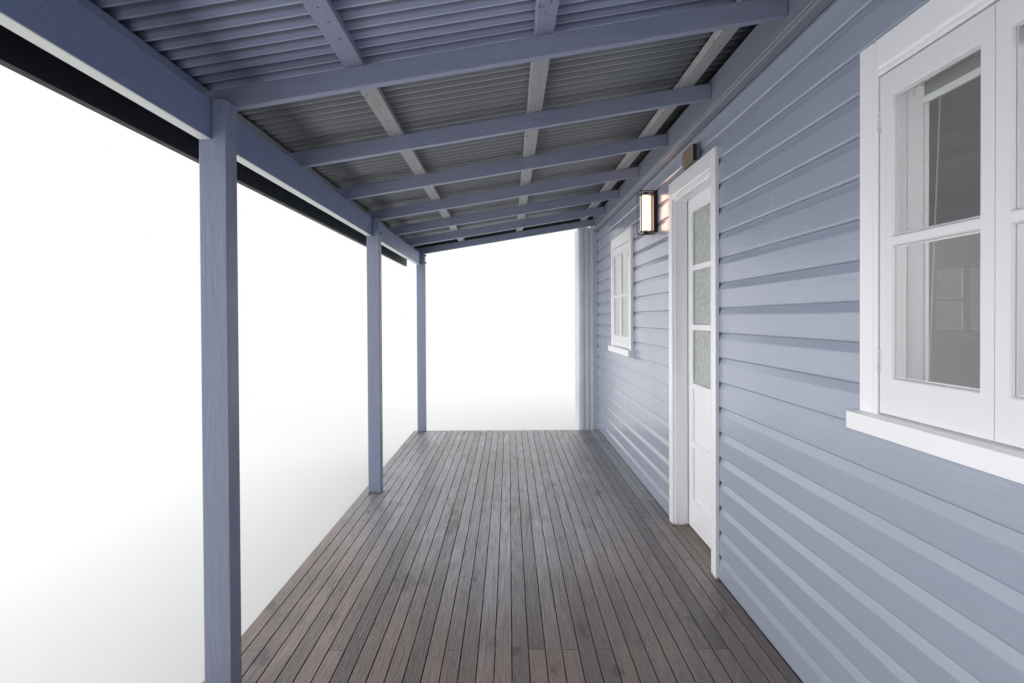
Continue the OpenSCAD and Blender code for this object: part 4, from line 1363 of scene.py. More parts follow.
@dataclass
class Weatherboards:
    """Chamfered boards on the four walls, cut round the openings and under the roof."""

    site: Site
    cover: float = 0.124
    thick: float = 0.020
    chamfer_h: float = 0.033
    chamfer_d: float = 0.011
    arris: float = 0.0085
    arris_steps: int = 5
    joint: float = 0.0014
    stud_pitch: float = 0.450
    first_stud: float = 0.022
    inset: float = 0.048
    low_foot: float = 0.176
    soffit: float = 2.859
    rake_x: float = 0.120
    rake_z: float = 3.168
    window_half: float = 0.481
    window_z: Pair = (1.291, 2.312)
    through: float = 0.16
    door_hole: Span = ((-0.1, -0.3995, 0.1), (0.2, 0.472, 2.385))

    def outline(self) -> Outline:
        """Section of one board: a flat face, a leaning chamfer and a rounded lower arris.

        Returns:
            Its corners, across and up from the board's foot.
        """
        a, top, turn = self.arris, self.cover - self.joint, self.cover - self.chamfer_h
        lean = self.chamfer_d * (top - turn) / self.chamfer_h
        angles = [QUARTER * step / self.arris_steps for step in range(self.arris_steps + 1)]
        return [*((a - a * math.cos(angle), a - a * math.sin(angle)) for angle in angles),
                (self.thick, 0.0), (self.thick, top), (lean, top),
                (0.0007, turn + 0.002), (0.0, turn - 0.002)]

    def wall(self, length: float, foot: float, top: float, place: Matrix, seed: int,
             planes: Sequence[Span], holes: Sequence[Span], jointed: bool = True) -> Mesh:
        """The boards of one wall, trimmed and cut round its openings.

        Args:
            length: Length of the wall's boards.
            foot: Height of the lowest board's foot.
            top: Height that the boards must reach.
            place: Where the lowest board starts.
            seed: Seed of the joints.
            planes: A point and an outward direction of each plane that trims them.
            holes: Lowest and highest corner of each opening.
            jointed: Whether the boards are in several lengths.

        Returns:
            The mesh.
        """
        mesh = self.site.repeater.boards(self.outline(), {
            "Courses": math.ceil((top - foot) / self.cover), "Step": (0.0, 0.0, self.cover),
            "Length": length, "Joist pitch": self.stud_pitch, "First joist": self.first_stud,
            "Joint gap": self.joint, "Jointed": jointed, "Seed": seed},
            place, self.site.finishes["board_paint"])
        return carved(trimmed(mesh, planes), holes)

    def window_holes(self, spots: Iterable[Pair], along_y: bool) -> list[Span]:
        """Holes for windows through a wall, round places on its face.

        Args:
            spots: Middles of the windows, seen from above.
            along_y: Whether the wall runs along Y.

        Returns:
            Lowest and highest corner of each hole.
        """
        reach = (self.through, self.window_half)
        dx, dy = reach if along_y else reversed(reach)
        (low, high), at = self.window_z, self.site.at
        return [(at(x - dx, y - dy, low), at(x + dx, y + dy, high)) for x, y in spots]

    def build(self) -> None:
        """Makes the boards of the four walls."""
        site, plan, low = self.site, self.site.plan, self.low_foot
        run, depth = plan.length - 2 * self.inset, plan.depth - 2 * self.inset
        under_eave = [((0, 0, self.soffit), (0, 0, 1))]
        holes = self.window_holes(((0, y) for y in plan.front_windows), True)
        holes.append(tuple(site.at(*corner) for corner in self.door_hole))
        front = self.wall(run, plan.floor_z, self.soffit,
                          site.frame(0, run / 2, plan.floor_z, -QUARTER), 3, under_eave, holes,
                          jointed=False)
        site.add(front, "front_weatherboards", "board_paint", "front_boards")
        back = self.wall(run, low, self.soffit, site.frame(plan.depth, -run / 2, low, QUARTER),
                         5, under_eave,
                         self.window_holes(((plan.depth, y) for y in plan.back_windows), True))
        site.add(back, "back_weatherboards", "board_paint", "back_boards")
        peak = self.rake_z + (plan.depth / 2 - self.rake_x) * math.tan(plan.main_pitch)
        sine, cosine = math.sin(plan.main_pitch), math.cos(plan.main_pitch)
        rakes = [(site.at(self.rake_x, 0, self.rake_z), (-sine, 0, cosine)),
                 (site.at(plan.depth - self.rake_x, 0, self.rake_z), (sine, 0, cosine))]
        ends = []
        for y, x, turn, seed in ((-plan.length / 2, self.inset, 0.0, 10),
                                 (plan.length / 2, plan.depth - self.inset, math.pi, 12)):
            holes = self.window_holes(((window, y) for window in plan.end_windows), False)
            ends.append(self.wall(depth, low, peak, site.frame(x, y, low, turn), seed, rakes,
                                  holes))
        site.add(merged(ends), "end_weatherboards", "board_paint", "end_boards")
        site.soften("corner_boards", "board_paint", 3.0, "corner_paint")


@dataclass
class Deck:
    """Narrow boards on the verandah, nailed to the joists and butted over them."""

    site: Site
    board: float = 0.0625
    pitch: float = 0.0665
    thick: float = 0.019
    width: float = 2.174
    high_y: float = 4.160
    joists: int = 19
    joist_w: float = 0.045
    arris: float = 0.0012
    joint: float = 0.0018
    nail_shares: Pair = (0.22, 0.78)
    nail_sunk: float = 0.0006

    def outline(self, width: float) -> Outline:
        """Section of a board of some width with rounded upper arrises, its top at zero."""
        a, t = self.arris, self.thick
        return [(-width, -t), (0.0, -t), (0.0, -a), (-0.3 * a, -0.3 * a), (-a, 0.0),
                (-width + a, 0.0), (-width + 0.3 * a, -0.3 * a), (-width, -a)]

    def build(self) -> None:
        """Lays the boards and drives their nails."""
        site, low_y, top = self.site, self.site.plan.verandah_low_y, self.site.plan.floor_z
        length = self.high_y - low_y
        joist_pitch = (length - self.joist_w) / self.joists
        full = math.ceil((self.width - 0.004) / self.pitch) - 1
        place = site.frame(-self.width, low_y, top, QUARTER)
        values = {"Step": (0.0, -self.pitch, 0.0), "Length": length,
                  "Joist pitch": joist_pitch, "First joist": self.joist_w / 2,
                  "Joint gap": self.joint, "Jointed": True}
        planks = site.add(merged([
            site.repeater.boards(self.outline(width), {
                **values, "Courses": count, "Seed": seed, "Start": (0.0, start, 0.0)},
                place, site.finishes["deck_timber"])
            for width, count, seed, start in (
                (self.board, full, 21, 0.0),
                (self.width - full * self.pitch, 1, 22, -full * self.pitch))]),
            "deck_planks", "deck_timber", "deck_boards")
        # The boards' sides get a dark finish: painted shade in the narrow gaps between the boards.
        repaint(planks, site.finishes["deck_edge"], lambda face: abs(face.normal.z) < 0.2)
        places = [(site.at(-self.width + row * self.pitch + share * self.board,
                           low_y + self.joist_w / 2 + joist * joist_pitch,
                           top - self.nail_sunk), (0.0, 0.0, 0.0))
                  for row in range(full) for joist in range(self.joists + 1)
                  for share in self.nail_shares]
        nail = lathed([(0.0022, -0.001), (0.0024, 0.0005), (0.0014, 0.0010)], 7)
        site.copy(nail, places, "deck_nails", "deck_timber", "nail_metal")


@dataclass
class Ground:
    """What stands under the floor, and the floor itself."""

    site: Site
    board: float = 0.089
    pitch: float = 0.090
    thick: float = 0.020
    groove: float = 0.0012
    core: Pair = (0.020, 6.480)
    half_l: float = 4.755
    joist_pitch: float = 0.588
    first_joist: float = 0.022
    joint: float = 0.0006

    def build(self) -> None:
        """Dresses the stumps, bearers and joists and lays the floor boards."""
        site, t, g = self.site, self.thick, self.groove
        for node, slot, width in (("stumps", "stump_timber", 4.0),
                                  ("bearers", "frame_timber", 2.0),
                                  ("joists", "frame_timber", 2.0),
                                  ("base_boards", "frame_paint", 2.5)):
            site.soften(node, slot, width)
        outline = [(-self.board, -t), (0.0, -t), (0.0, -g), (-g, 0.0),
                   (-self.board + g, 0.0), (-self.board, -g)]
        low, high = self.core
        mesh = site.repeater.boards(outline, {
            "Courses": math.ceil((high - low) / self.pitch), "Step": (0.0, -self.pitch, 0.0),
            "Length": 2 * self.half_l, "Joist pitch": self.joist_pitch,
            "First joist": self.first_joist, "Joint gap": self.joint, "Jointed": True,
            "Seed": 41}, site.frame(low, -self.half_l, site.plan.floor_z, QUARTER),
            site.finishes["floor_timber"])
        site.add(trimmed(mesh, [(site.at(high, 0, 0), (1, 0, 0))]), "floor_planks",
                 "floor_timber", "floor")


@dataclass
class VerandahFrame:
    """Posts, beam, rafters, battens and ledger, with their bolts and nails."""

    site: Site
    post_face: float = -2.026
    post_w: float = 0.095
    posts: Row = (-4.290, -1.505, 1.280, 4.065)
    bolt_heights: Row = (2.272, 2.356)
    high_y: float = 4.205
    under_x: float = -2.026
    under_z: float = 2.384
    rafter_v: float = 0.076
    screw_pitch: float = 0.228
    first_screw: float = 0.11
    screw_stray: Pair = (0.008, 0.013)
    blue_y: float = -1.388
    wall_edge: float = -0.045
    batten_half: float = 0.036
    closer: tuple[float, float, float] = (0.022, 0.009, 0.034)

    def top(self, x: float) -> float:
        """Height of the rafters' upper sides at x."""
        rise = (x - self.under_x) * math.tan(self.site.plan.verandah_pitch)
        return self.under_z + rise + self.rafter_v

    @staticmethod
    def bolt() -> Mesh:
        """A hexagon nut on a washer, with the rounded end of the bolt.

        Returns:
            The mesh, upright on its washer.
        """
        washer = lathed([(0.0150, 0.0), (0.0150, 0.0020), (0.0140, 0.0028)], 18)
        nut = lathed([(0.0108, 0.0026), (0.0110, 0.0030), (0.0110, 0.0100),
                      (0.0096, 0.0112)], 6)
        nut.polygons.foreach_set("use_smooth", [False] * len(nut.polygons))
        end = lathed([(0.0058, 0.0100), (0.0058, 0.0160), (0.0046, 0.0176)], 14)
        return merged([washer, nut, end])

    def build(self) -> None:
        """Dresses the timbers, sets the bolts and screw points and closes the roof's end."""
        site, plan = self.site, self.site.plan
        site.soften("verandah_posts", "frame_paint", 4.0, "post_paint", 3)
        beam = site.soften("verandah_beam", "frame_paint", 3.5, "beam_paint", 3)
        # The beam's underside gets a light grey-green finish: painted light from below.
        repaint(beam, site.finishes["lit_beam_underside_paint"], lambda face: face.normal.z < -0.7)
        site.soften("verandah_rafters", "frame_paint", 3.0, "rafter_paint")
        battens = site.soften("verandah_battens", "batten_paint", 2.5)
        with editing(battens.data) as cut:
            bmesh.ops.bisect_plane(cut, geom=[*cut.verts, *cut.edges, *cut.faces],
                                   plane_co=(0, self.blue_y, 0), plane_no=(0, 1, 0))
        repaint(battens, site.finishes["near_batten_paint"],
                lambda face: face.center.y < self.blue_y)
        # The ledger keeps the boards' slot, with a finish painted darker for the shade under the
        # roof.
        site.soften("rafter_ledger", "board_paint", 2.0, "shaded_ledger_paint")
        places = [(site.at(self.post_face, y + self.post_w / 2, z), (0.0, QUARTER, 0.0))
                  for y in self.posts for z in self.bolt_heights]
        site.copy(self.bolt(), places, "post_bolts", "frame_paint", "post_paint")
        stray_x, stray_y = self.screw_stray
        start = plan.verandah_low_y + self.first_screw
        count = int((self.high_y - plan.verandah_low_y) / self.screw_pitch)
        places = [(site.at(x + stray_x * (step % 3 - 1),
                           start + step * self.screw_pitch + stray_y * (row % 3),
                           self.top(x)), (math.pi, 0.0, 0.0))
                  for row, x in enumerate(plan.battens) for step in range(count)]
        point = lathed([(0.0034, -0.0006), (0.0030, 0.0006), (0.0016, 0.0012)], 7)
        site.copy(point, places, "batten_screw_points", "batten_paint", "nail_metal")
        self.end_closers()

    def end_closers(self) -> None:
        """Closes the end of the roof between the battens, over the last rafter."""
        site, pitch = self.site, self.site.plan.verandah_pitch
        set_in, half, height = self.closer
        inner, meshes = self.wall_edge, []
        for x in site.plan.battens:
            outer = x + self.batten_half
            mesh = block_mesh((0.0, -half, 0.0),
                              ((inner - outer) / math.cos(pitch), half, height), MM)
            meshes.append(moved(mesh, site.frame(outer, self.high_y - set_in, self.top(outer),
                                                 -pitch, "Y")))
            inner = x - self.batten_half
        # The closers are near black, which stands partly for painted shade in the space under the
        # end of the sheets.
        site.add(merged(meshes), "end_closers", "dark_trim", finish="dark_timber")


@dataclass(frozen=True)
class Slope:
    """One slope of a roof: its lower corner and tilt, its sizes and where it is screwed."""

    place: Matrix
    width: float
    run: float
    pitch: float
    turn: float
    screws: Sequence[float]


@dataclass
class IronRoof:
    """Corrugated sheets on the house and the verandah, with ridge and screws."""

    site: Site
    wave: float = 0.076
    depth: float = 0.017
    thick: float = 0.001
    cover: int = 10
    steps: int = 12
    rows: int = 5
    main_low: Pair = (-0.350, 3.0138)
    main_run: float = 3.9326
    main_back: float = 0.080
    main_half: float = 5.055
    screw_rows: int = 5
    first_screw: float = 0.125
    screw_ends: float = 0.36
    screw_crests: int = 3
    verandah_low: Pair = (-2.331, 2.44673)
    verandah_run: float = 2.3535
    verandah_y: Pair = (-4.340, 4.255)
    painted_y: float = -1.300

    def waves(self, slope: Slope) -> tuple[int, float]:
        """How many waves fit on a slope, and where the first one starts."""
        count = int(slope.width / self.wave + 1e-6)
        return count, (slope.width - count * self.wave) / 2

    def sheets(self, slope: Slope) -> list[Mesh]:
        """Sheets over one slope: full sheets, and a narrow one at the end.

        Args:
            slope: The slope.

        Returns:
            The meshes.
        """
        waves, start = self.waves(slope)
        full = (waves - 1) // self.cover
        covered = full * self.cover
        return [self.site.repeater.sheets({
            "Pitch": self.wave, "Depth": self.depth, "Thickness": self.thick,
            "Length": slope.run, "Steps": self.steps, "Rows": self.rows, "Sheets": count,
            "Waves": size, "Cover waves": self.cover, "Start": begin},
            slope.place, self.site.finishes["roof_steel"])
            for count, size, begin in ((full, self.cover + 1, start),
                                       (1, waves - covered, start + covered * self.wave))]

    def slopes(self) -> tuple[Slope, Slope, Slope]:
        """The verandah's slope and the two of the house.

        Returns:
            The verandah's, the front one and the back one.
        """
        site, plan, pitch = self.site, self.site.plan, self.site.plan.main_pitch
        (low_x, low_z), (low_y, high_y) = self.verandah_low, self.verandah_y
        tilt, half = plan.verandah_pitch, self.main_half
        lower = Slope(site.frame(low_x, low_y, low_z, -tilt, "Y"), high_y - low_y,
                      self.verandah_run, tilt, 0.0,
                      [(x - low_x) / math.cos(tilt) for x in plan.battens])
        front = site.frame(self.main_low[0], -half, self.main_low[1], -pitch, "Y") \
            @ Matrix.Translation((-self.main_back, 0, 0))
        ridge = Matrix.Translation(site.at(plan.depth / 2, 0, 0))
        back = ridge @ Matrix.Rotation(math.pi, 4, "Z") @ ridge.inverted() @ front
        rows = [self.first_screw + row * (self.main_run - self.screw_ends)
                / (self.screw_rows - 1) for row in range(self.screw_rows)]
        return (lower, Slope(front, 2 * half, self.main_run, pitch, 0.0, rows),
                Slope(back, 2 * half, self.main_run, pitch, math.pi, rows))

    def build(self) -> None:
        """Lays the sheets of the verandah and of both main slopes, and the ridge."""
        site, (lower, *upper) = self.site, self.slopes()
        sheets = site.add(merged(self.sheets(lower)), "verandah_sheets", "roof_steel",
                          "verandah_roof")
        repaint(sheets, site.finishes["roof_top_steel"], lambda face: face.normal.z > 0.0)
        repaint(sheets, site.finishes["painted_steel"],
                lambda face: face.normal.z < 0.0 and face.center.y < self.painted_y)
        main = site.add(merged([mesh for slope in upper for mesh in self.sheets(slope)]),
                        "main_roof_sheets", "roof_steel", "roof_sheets")
        repaint(main, site.finishes["main_roof_steel"], lambda face: face.normal.z > 0.0)
        site.soften("ridge_cap", "roof_steel", 0.0, "ridge_steel")
        self.screws()

    def screws(self) -> None:
        """Sets a hexagon-headed screw on each third crest over the battens."""
        top, places = self.depth + self.thick * 1.5, []
        for slope in self.slopes():
            waves, start = self.waves(slope)
            angles = tuple(Euler((0.0, -slope.pitch, slope.turn)).to_matrix().to_euler())
            places += [(tuple(slope.place @ Vector((row, start + (crest + 0.25) * self.wave,
                                                    top))), angles)
                       for row in slope.screws
                       for crest in range(1, waves - 1, self.screw_crests)]
        screw = lathed([(0.0085, -0.001), (0.0085, 0.0014), (0.0056, 0.0022),
                        (0.0056, 0.0062), (0.0044, 0.0070)], 6)
        self.site.copy(screw, places, "roof_screws", "roof_steel", "roof_screw_metal")


@dataclass
class EaveTrim:
    """Fascias, gutters, barge boards, eave linings and the roof's timber."""

    site: Site

    def build(self) -> None:
        """Dresses the trim of the roofs."""
        for node, slot, width, finish in (
                ("fascias", "dark_trim", 2.0, ""), ("gutters", "dark_trim", 0.0, ""),
                ("barge_boards", "dark_trim", 2.0, ""),
                ("eave_linings", "white_paint", 1.0, "lining_paint"),
                ("roof_rafters", "frame_timber", 2.0, ""),
                ("roof_battens", "frame_timber", 2.0, "")):
            self.site.soften(node, slot, width, finish)


@dataclass
class FrontDoor:
    """Frame, sill, leaf, glass, knobs and hinges of the front door."""

    site: Site
    leaf_x: Pair = (0.082, 0.120)
    leaf_y: Pair = (-0.373, 0.447)
    leaf_foot: float = 0.310
    stile: float = 0.095
    bottom_rail: float = 0.172
    top_rail: float = 0.089
    mid_rail: float = 0.031
    leaf_h: float = 2.050
    panels: int = 5
    bead_w: float = 0.0045
    bead_depth: float = 0.0085
    bead_in: float = 0.0025
    jamb_y: float = 0.437
    old_hinges: Row = (0.599, 2.100)
    old_hinge_x: Pair = (0.002, 0.013)
    old_hinge_y: Pair = (0.0008, 0.001)
    old_hinge_half: float = 0.045

    def panel_edges(self, number: int) -> Pair:
        """Foot and head of a panel, counted from below.

        Args:
            number: The panel, from nought.

        Returns:
            Heights of its foot and its head.
        """
        clear = self.leaf_h - self.bottom_rail - self.top_rail
        height = (clear - (self.panels - 1) * self.mid_rail) / self.panels
        foot = self.leaf_foot + self.bottom_rail + number * (height + self.mid_rail)
        return foot, foot + height

    def build(self) -> None:
        """Dresses the frame and the moving leaf."""
        site = self.site
        site.soften("door_frame", "white_paint", 1.6, "door_frame_paint")
        site.soften("door_sill", "deck_timber", 1.0, "sill_timber")
        site.soften("door_leaf", "white_paint", 2.0, "door_paint", body="door")
        site.paint("door_glass", "obscure_glass")
        site.soften("door_knobs", "knob_metal", 0.8, body="door")
        site.soften("door_hinges", "painted_metal_white", 0.6)
        site.soften("hinge_leaves", "painted_metal_white", 0.6, body="door")
        sides = (self.leaf_y[0] + self.stile, self.leaf_y[1] - self.stile)
        rings = [bead_ring(Matrix.Translation((site.face_x, 0, 0)),
                           face_x - outward * self.bead_in, (*sides, *self.panel_edges(number)),
                           self.bead_w, -outward * self.bead_depth)
                 for number in range(self.panels)
                 for face_x, outward in zip(self.leaf_x, (-1, 1))]
        site.add(merged(rings), "door_beads", "white_paint", finish="door_paint", body="door")
        (near, far), (proud, sunk), half = self.old_hinge_x, self.old_hinge_y, self.old_hinge_half
        marks = [site.block((near, self.jamb_y - proud, z - half),
                            (far, self.jamb_y + sunk, z + half), 0.3 * MM)
                 for z in self.old_hinges]
        site.add(merged(marks), "old_hinge_marks", "white_paint", finish="door_frame_paint")


@dataclass
class WindowSet:
    """Frames, pairs of sashes, glass and fittings of the nine windows."""

    site: Site
    foot: float = 1.350
    width: float = 0.902
    height: float = 0.932
    gap: float = 0.002
    stile: float = 0.059
    meeting: float = 0.044
    top_rail: float = 0.064
    bottom_rail: float = 0.098
    bar: float = 0.022
    bar_drop: float = 0.011
    sash_t: float = 0.035
    proud: float = 0.020
    glass_t: float = 0.004
    recess: float = 0.008
    putty_w: float = 0.0045
    putty_in: float = 0.0008
    bead_w: float = 0.008
    bead_in: float = 0.001
    frosted_zone: float = 0.12
    mouldings: tuple[Point, ...] = ((0.027, 0.052, 0.012), (0.056, 0.070, 0.008),
                                    (0.106, 0.119, 0.003))
    bead_gap: float = 0.0012
    hinge_out: float = 0.0016
    hinge_heights: Pair = (0.148, 0.807)
    knuckles: int = 5
    knuckle_h: float = 0.0128

    def places(self) -> list[Matrix]:
        """Where each window's own frame goes, its outer side towards minus x."""
        plan, frame = self.site.plan, self.site.frame
        return [*(frame(0, y, 0, 0.0) for y in plan.front_windows),
                *(frame(plan.depth, y, 0, math.pi) for y in plan.back_windows),
                *(frame(x, side * plan.length / 2, 0, -side * QUARTER)
                  for x in plan.end_windows for side in (-1, 1))]

    def panes(self) -> list[Pane]:
        """Near, far, foot and head of the four panes of one window.

        Returns:
            The edges of each pane.
        """
        sash_w = (self.width - 3 * self.gap) / 2
        sash_z, sash_h = self.foot + self.gap, self.height - 2 * self.gap
        bar_z = sash_z + self.bottom_rail - self.bar_drop \
            + (sash_h - self.bottom_rail - self.top_rail - self.bar) / 2
        rows = [(sash_z + self.bottom_rail, bar_z),
                (bar_z + self.bar, sash_z + sash_h - self.top_rail)]
        sides = [(-self.gap / 2 - sash_w + self.stile, -self.gap / 2 - self.meeting),
                 (self.gap / 2 + self.meeting, self.gap / 2 + sash_w - self.stile)]
        return [(near, far, low, high) for near, far in sides for low, high in rows]

    def build(self) -> None:
        """Dresses the frames and sashes and adds putty, mouldings and hinges."""
        site = self.site
        site.soften("window_frames", "white_paint", 1.5, "window_frame_paint")
        site.soften("window_sashes", "white_paint", 1.8, "sash_paint")
        panes = site.soften("window_glass", "clear_glass", 0.4)
        end_y = site.plan.length / 2 - self.frosted_zone
        repaint(panes, site.finishes["frosted_glass"], lambda face: abs(face.center.y) > end_y)
        behind = self.recess + self.glass_t - self.sash_t + self.bead_gap
        rings = [bead_ring(place, face_x, pane, width, depth)
                 for face_x, width, depth in (
                     (self.putty_in - self.proud, self.putty_w, self.recess - self.putty_in),
                     (self.sash_t - self.proud - self.bead_in, self.bead_w, behind))
                 for place in self.places() for pane in self.panes()]
        site.add(merged(rings), "window_putty", "white_paint", finish="sash_paint")
        self.reveals()
        self.hinges()

    def reveals(self) -> None:
        """Runs the stop, the staff bead and the edge of the lining round each reveal."""
        half, low, high = self.width / 2, self.foot, self.foot + self.height
        meshes = [moved(block_mesh((near, *start), (far, *end), 1.2 * MM), place)
                  for place in self.places() for near, far, proud in self.mouldings
                  for start, end in (((-half, low), (proud - half, high)),
                                     ((half - proud, low), (half, high)),
                                     ((-half, high - proud), (half, high)))]
        self.site.add(merged(meshes), "reveal_mouldings", "white_paint", finish="reveal_paint")

    def hinge(self) -> Mesh:
        """A small painted butt hinge: knuckles, the ends of its pin and a leaf.

        Returns:
            The mesh, upright round its pin.
        """
        feet = [(part - self.knuckles / 2) * self.knuckle_h for part in range(self.knuckles)]
        parts = [lathed([(0.0046, foot + 0.0003), (0.0052, foot + 0.0010),
                         (0.0052, foot + 0.0118), (0.0046, foot + 0.0125)], 12)
                 for foot in feet]
        cap = [(0.0034, 0.0318), (0.0036, 0.0335), (0.0018, 0.0350)]
        parts += [lathed(cap, 10), lathed([(radius, -z) for radius, z in reversed(cap)], 10)]
        return merged([*parts, block_mesh((0.0009, -0.011, -0.031), (0.0030, 0.011, 0.031),
                                          0.6 * MM)])

    def hinges(self) -> None:
        """Sets two hinges on the outer edge of each sash."""
        edge = self.width / 2 - self.gap / 2
        spots = [(tuple(place @ Vector((-self.proud - self.hinge_out, side * edge,
                                        self.foot + height))), tuple(place.to_euler()))
                 for place in self.places() for side in (-1, 1)
                 for height in self.hinge_heights]
        self.site.copy(self.hinge(), spots, "window_hinges", "painted_metal_white",
                       "hinge_paint")


@dataclass
class RollerBlind:
    """The blind behind the near window: roll, hanging cloth, rail, drum and bead chain."""

    site: Site
    low_y: float = -2.862
    high_y: float = -2.104
    jambs: Pair = (-2.876, -1.974)
    axis_x: float = 0.059
    axis_z: float = 2.251
    radius: float = 0.0305
    cloth_t: float = 0.0006
    hem: float = 0.004
    rail_x: Pair = (-0.0045, 0.0055)
    rail_z: Pair = (2.168, 2.187)
    rail_over: float = 0.002
    drum_gap: float = 0.006
    drum_w: float = 0.034
    drum_r: float = 0.0265
    pin_r: float = 0.007
    pin_in: float = 0.003
    bracket: Pair = (0.022, 0.004)
    bracket_reach: Pair = (0.024, 0.029)
    guide: Pair = (0.008, 0.006)
    guide_low: float = 1.350
    guide_over: float = 0.014
    chain_y: float = 0.018
    chain_x: float = 0.086
    chain_foot: Pair = (-2.026, 1.372)
    chain_gap: float = 0.0012
    core_r: float = 0.0004
    bead_pitch: float = 0.0032

    def build(self) -> None:
        """Makes the pieces of the blind."""
        site, x, z = self.site, self.axis_x, self.axis_z
        roll = site.rod((x, self.low_y, z), (x, self.high_y, z), self.radius, 40)
        site.add(roll, "blind_roll", "blind_cloth", "roller_blind", finish="blind_cloth")
        front, cloth_z = x - self.radius, self.rail_z[1] - self.hem
        cloth = site.add(site.block((front, self.low_y, cloth_z),
                                    (front + self.cloth_t, self.high_y, z)),
                         "blind_cloth_edge", "blind_cloth", finish="blind_cloth")
        (near, far), (foot, head), over = self.rail_x, self.rail_z, self.rail_over
        rail = site.add(site.block((front + near, self.low_y - over, foot),
                                   (front + far, self.high_y + over, head), 3 * MM),
                        "blind_rail", "white_paint", finish="rail_plastic")
        self.fixings()

    def fixings(self) -> None:
        """Makes the drum, the pins, the brackets and the chain's lower guide."""
        site, x, z, (near, far) = self.site, self.axis_x, self.axis_z, self.jambs
        drum = (self.high_y + self.drum_gap, self.high_y + self.drum_gap + self.drum_w)
        rods = ((*drum, self.drum_r, 32), (drum[1], far - self.pin_in, self.pin_r, 12),
                (near + self.pin_in, self.low_y, self.pin_r, 12))
        meshes = [site.rod((x, start, z), (x, end, z), radius, sides)
                  for start, end, radius, sides in rods]
        (half, plate), (below, above) = self.bracket, self.bracket_reach
        meshes += [site.block((x - half, y, z - below), (x + half, y + plate, z + above), MM)
                   for y in (far - plate, near)]
        (dx, dy), guide_x, (guide_y, guide_z) = self.guide, self.chain_x, self.chain_foot
        meshes.append(site.block(
            (guide_x - dx, guide_y - dy, self.guide_low),
            (guide_x + dx, guide_y + dy, guide_z + self.guide_over), MM))
        site.add(merged(meshes), "blind_fixings", "white_paint", finish="rail_plastic")
        self.chain()

    def chain(self) -> None:
        """Makes the bead chain as one fixed loop round the drum and the lower guide."""
        site, gap, radius = self.site, self.chain_gap, self.core_r
        top_y = self.high_y + self.drum_gap + self.chain_y
        foot = Vector(site.at(self.chain_x, *self.chain_foot))
        head = Vector(site.at(self.chain_x, top_y, self.axis_z))
        beads, cores = [], []
        for side in (-1, 1):
            aside = Vector((side * gap, 0, 0))
            low, high = foot + aside, head + aside
            count = int((high - low).length / self.bead_pitch)
            beads += [low.lerp(high, (step + 0.5) / count) for step in range(count)]
            cores.append(rod(low, high, radius, 5))
        for end, way in ((foot, -1), (head, 1)):
            turn = [end + Vector((gap * math.cos(step * math.pi / 4), 0,
                                  way * gap * math.sin(step * math.pi / 4)))
                    for step in range(5)]
            cores += [rod(start, stop, radius, 5) for start, stop in zip(turn, turn[1:])]
            beads.append(turn[2])
        bead = lathed([(0.0005, -0.0012), (0.0009, -0.0007), (0.0011, 0.0), (0.0009, 0.0007),
                       (0.0005, 0.0012)], 8)
        string = site.repeater.copies(bead, [(tuple(spot), (0.0, 0.0, 0.0)) for spot in beads],
                                      site.finishes["chain_plastic"])
        site.add(merged([string, *cores]), "blind_chain", "white_paint", finish="chain_plastic")


@dataclass
class WallLantern:
    """A black cage on a thick back plate, round a lit tube of opal glass."""

    site: Site
    low: Point = (-0.118, 0.935, 2.219)
    high: Point = (0.0, 1.095, 2.514)
    bar: float = 0.007
    back: float = 0.022
    tube_r: float = 0.038
    tube_z: Pair = (2.241, 2.490)
    tube_arris: float = 0.004
    tube_out: float = 0.002
    socket_r: float = 0.018
    strap: float = 0.003

    def build(self) -> None:
        """Makes the cage and the tube."""
        site, bar, half, a = self.site, self.bar, self.socket_r, self.tube_arris
        (x0, y0, z0), (x1, y1, z1) = self.low, self.high
        (foot, head), face = self.tube_z, x1 - self.back
        spans = [((face, y0, z0), (x1, y1, z1))]
        for z in (z0, z1 - bar):
            spans.append(((x0, y0, z), (x0 + bar, y1, z + bar)))
            spans += [((x0, y, z), (face, y + bar, z + bar)) for y in (y0, y1 - bar)]
        spans += [((x, y, z0), (x + bar, y + bar, z1))
                  for x in (x0, face - bar) for y in (y0, y1 - bar)]
        x, y = (x0 + face) / 2 + self.tube_out, (y0 + y1) / 2
        meshes = [site.block(low, high, MM) for low, high in spans]
        meshes += [site.rod((x, y, low), (x, y, high), half, 24)
                   for low, high in ((z0, foot), (head, z1))]
        meshes += [site.block((x - half, y - half, z), (face, y + half, z + self.strap))
                   for z in (z0, z1 - self.strap)]
        site.add(merged(meshes), "lantern_cage", "lantern_metal", "wall_lantern",
                 finish="lantern_metal")
        tube = lathed([(self.tube_r - a, foot), (self.tube_r, foot + a), (self.tube_r, head - a),
                       (self.tube_r - a, head)], 40)
        site.add(moved(tube, Matrix.Translation(site.at(x, y, 0))), "lantern_tube",
                 "opal_glass", "lantern_glass", finish="opal_glass")


@dataclass
class Fittings:
    """Bare board over the door and ribbed cupboard."""

    site: Site
    block_face: float = -0.0235

    def build(self) -> None:
        """Dresses the fittings."""
        site, block_x = self.site, self.site.face_x + self.block_face
        board = site.soften("name_board", "weathered_board", 1.5)
        repaint(board, site.finishes["dark_timber"], lambda face: abs(face.normal.x) < 0.5)
        repaint(board, site.finishes["board_paint"], lambda face: face.center.x > block_x)
        site.soften("ribbed_cupboard", "ribbed_steel", 1.5)


@dataclass
class Shell:
    """The stud walls and the ceiling behind the boards."""

    site: Site
    linings: tuple[str, ...] = ("front_wall_near", "front_wall_far", "front_wall_over_door",
                                "back_wall", "end_walls", "ceiling")

    def build(self) -> None:
        """Paints the inner linings, which keep their CAD shape."""
        for node in self.linings:
            self.site.paint(node, "wall_lining")


# Camera and light


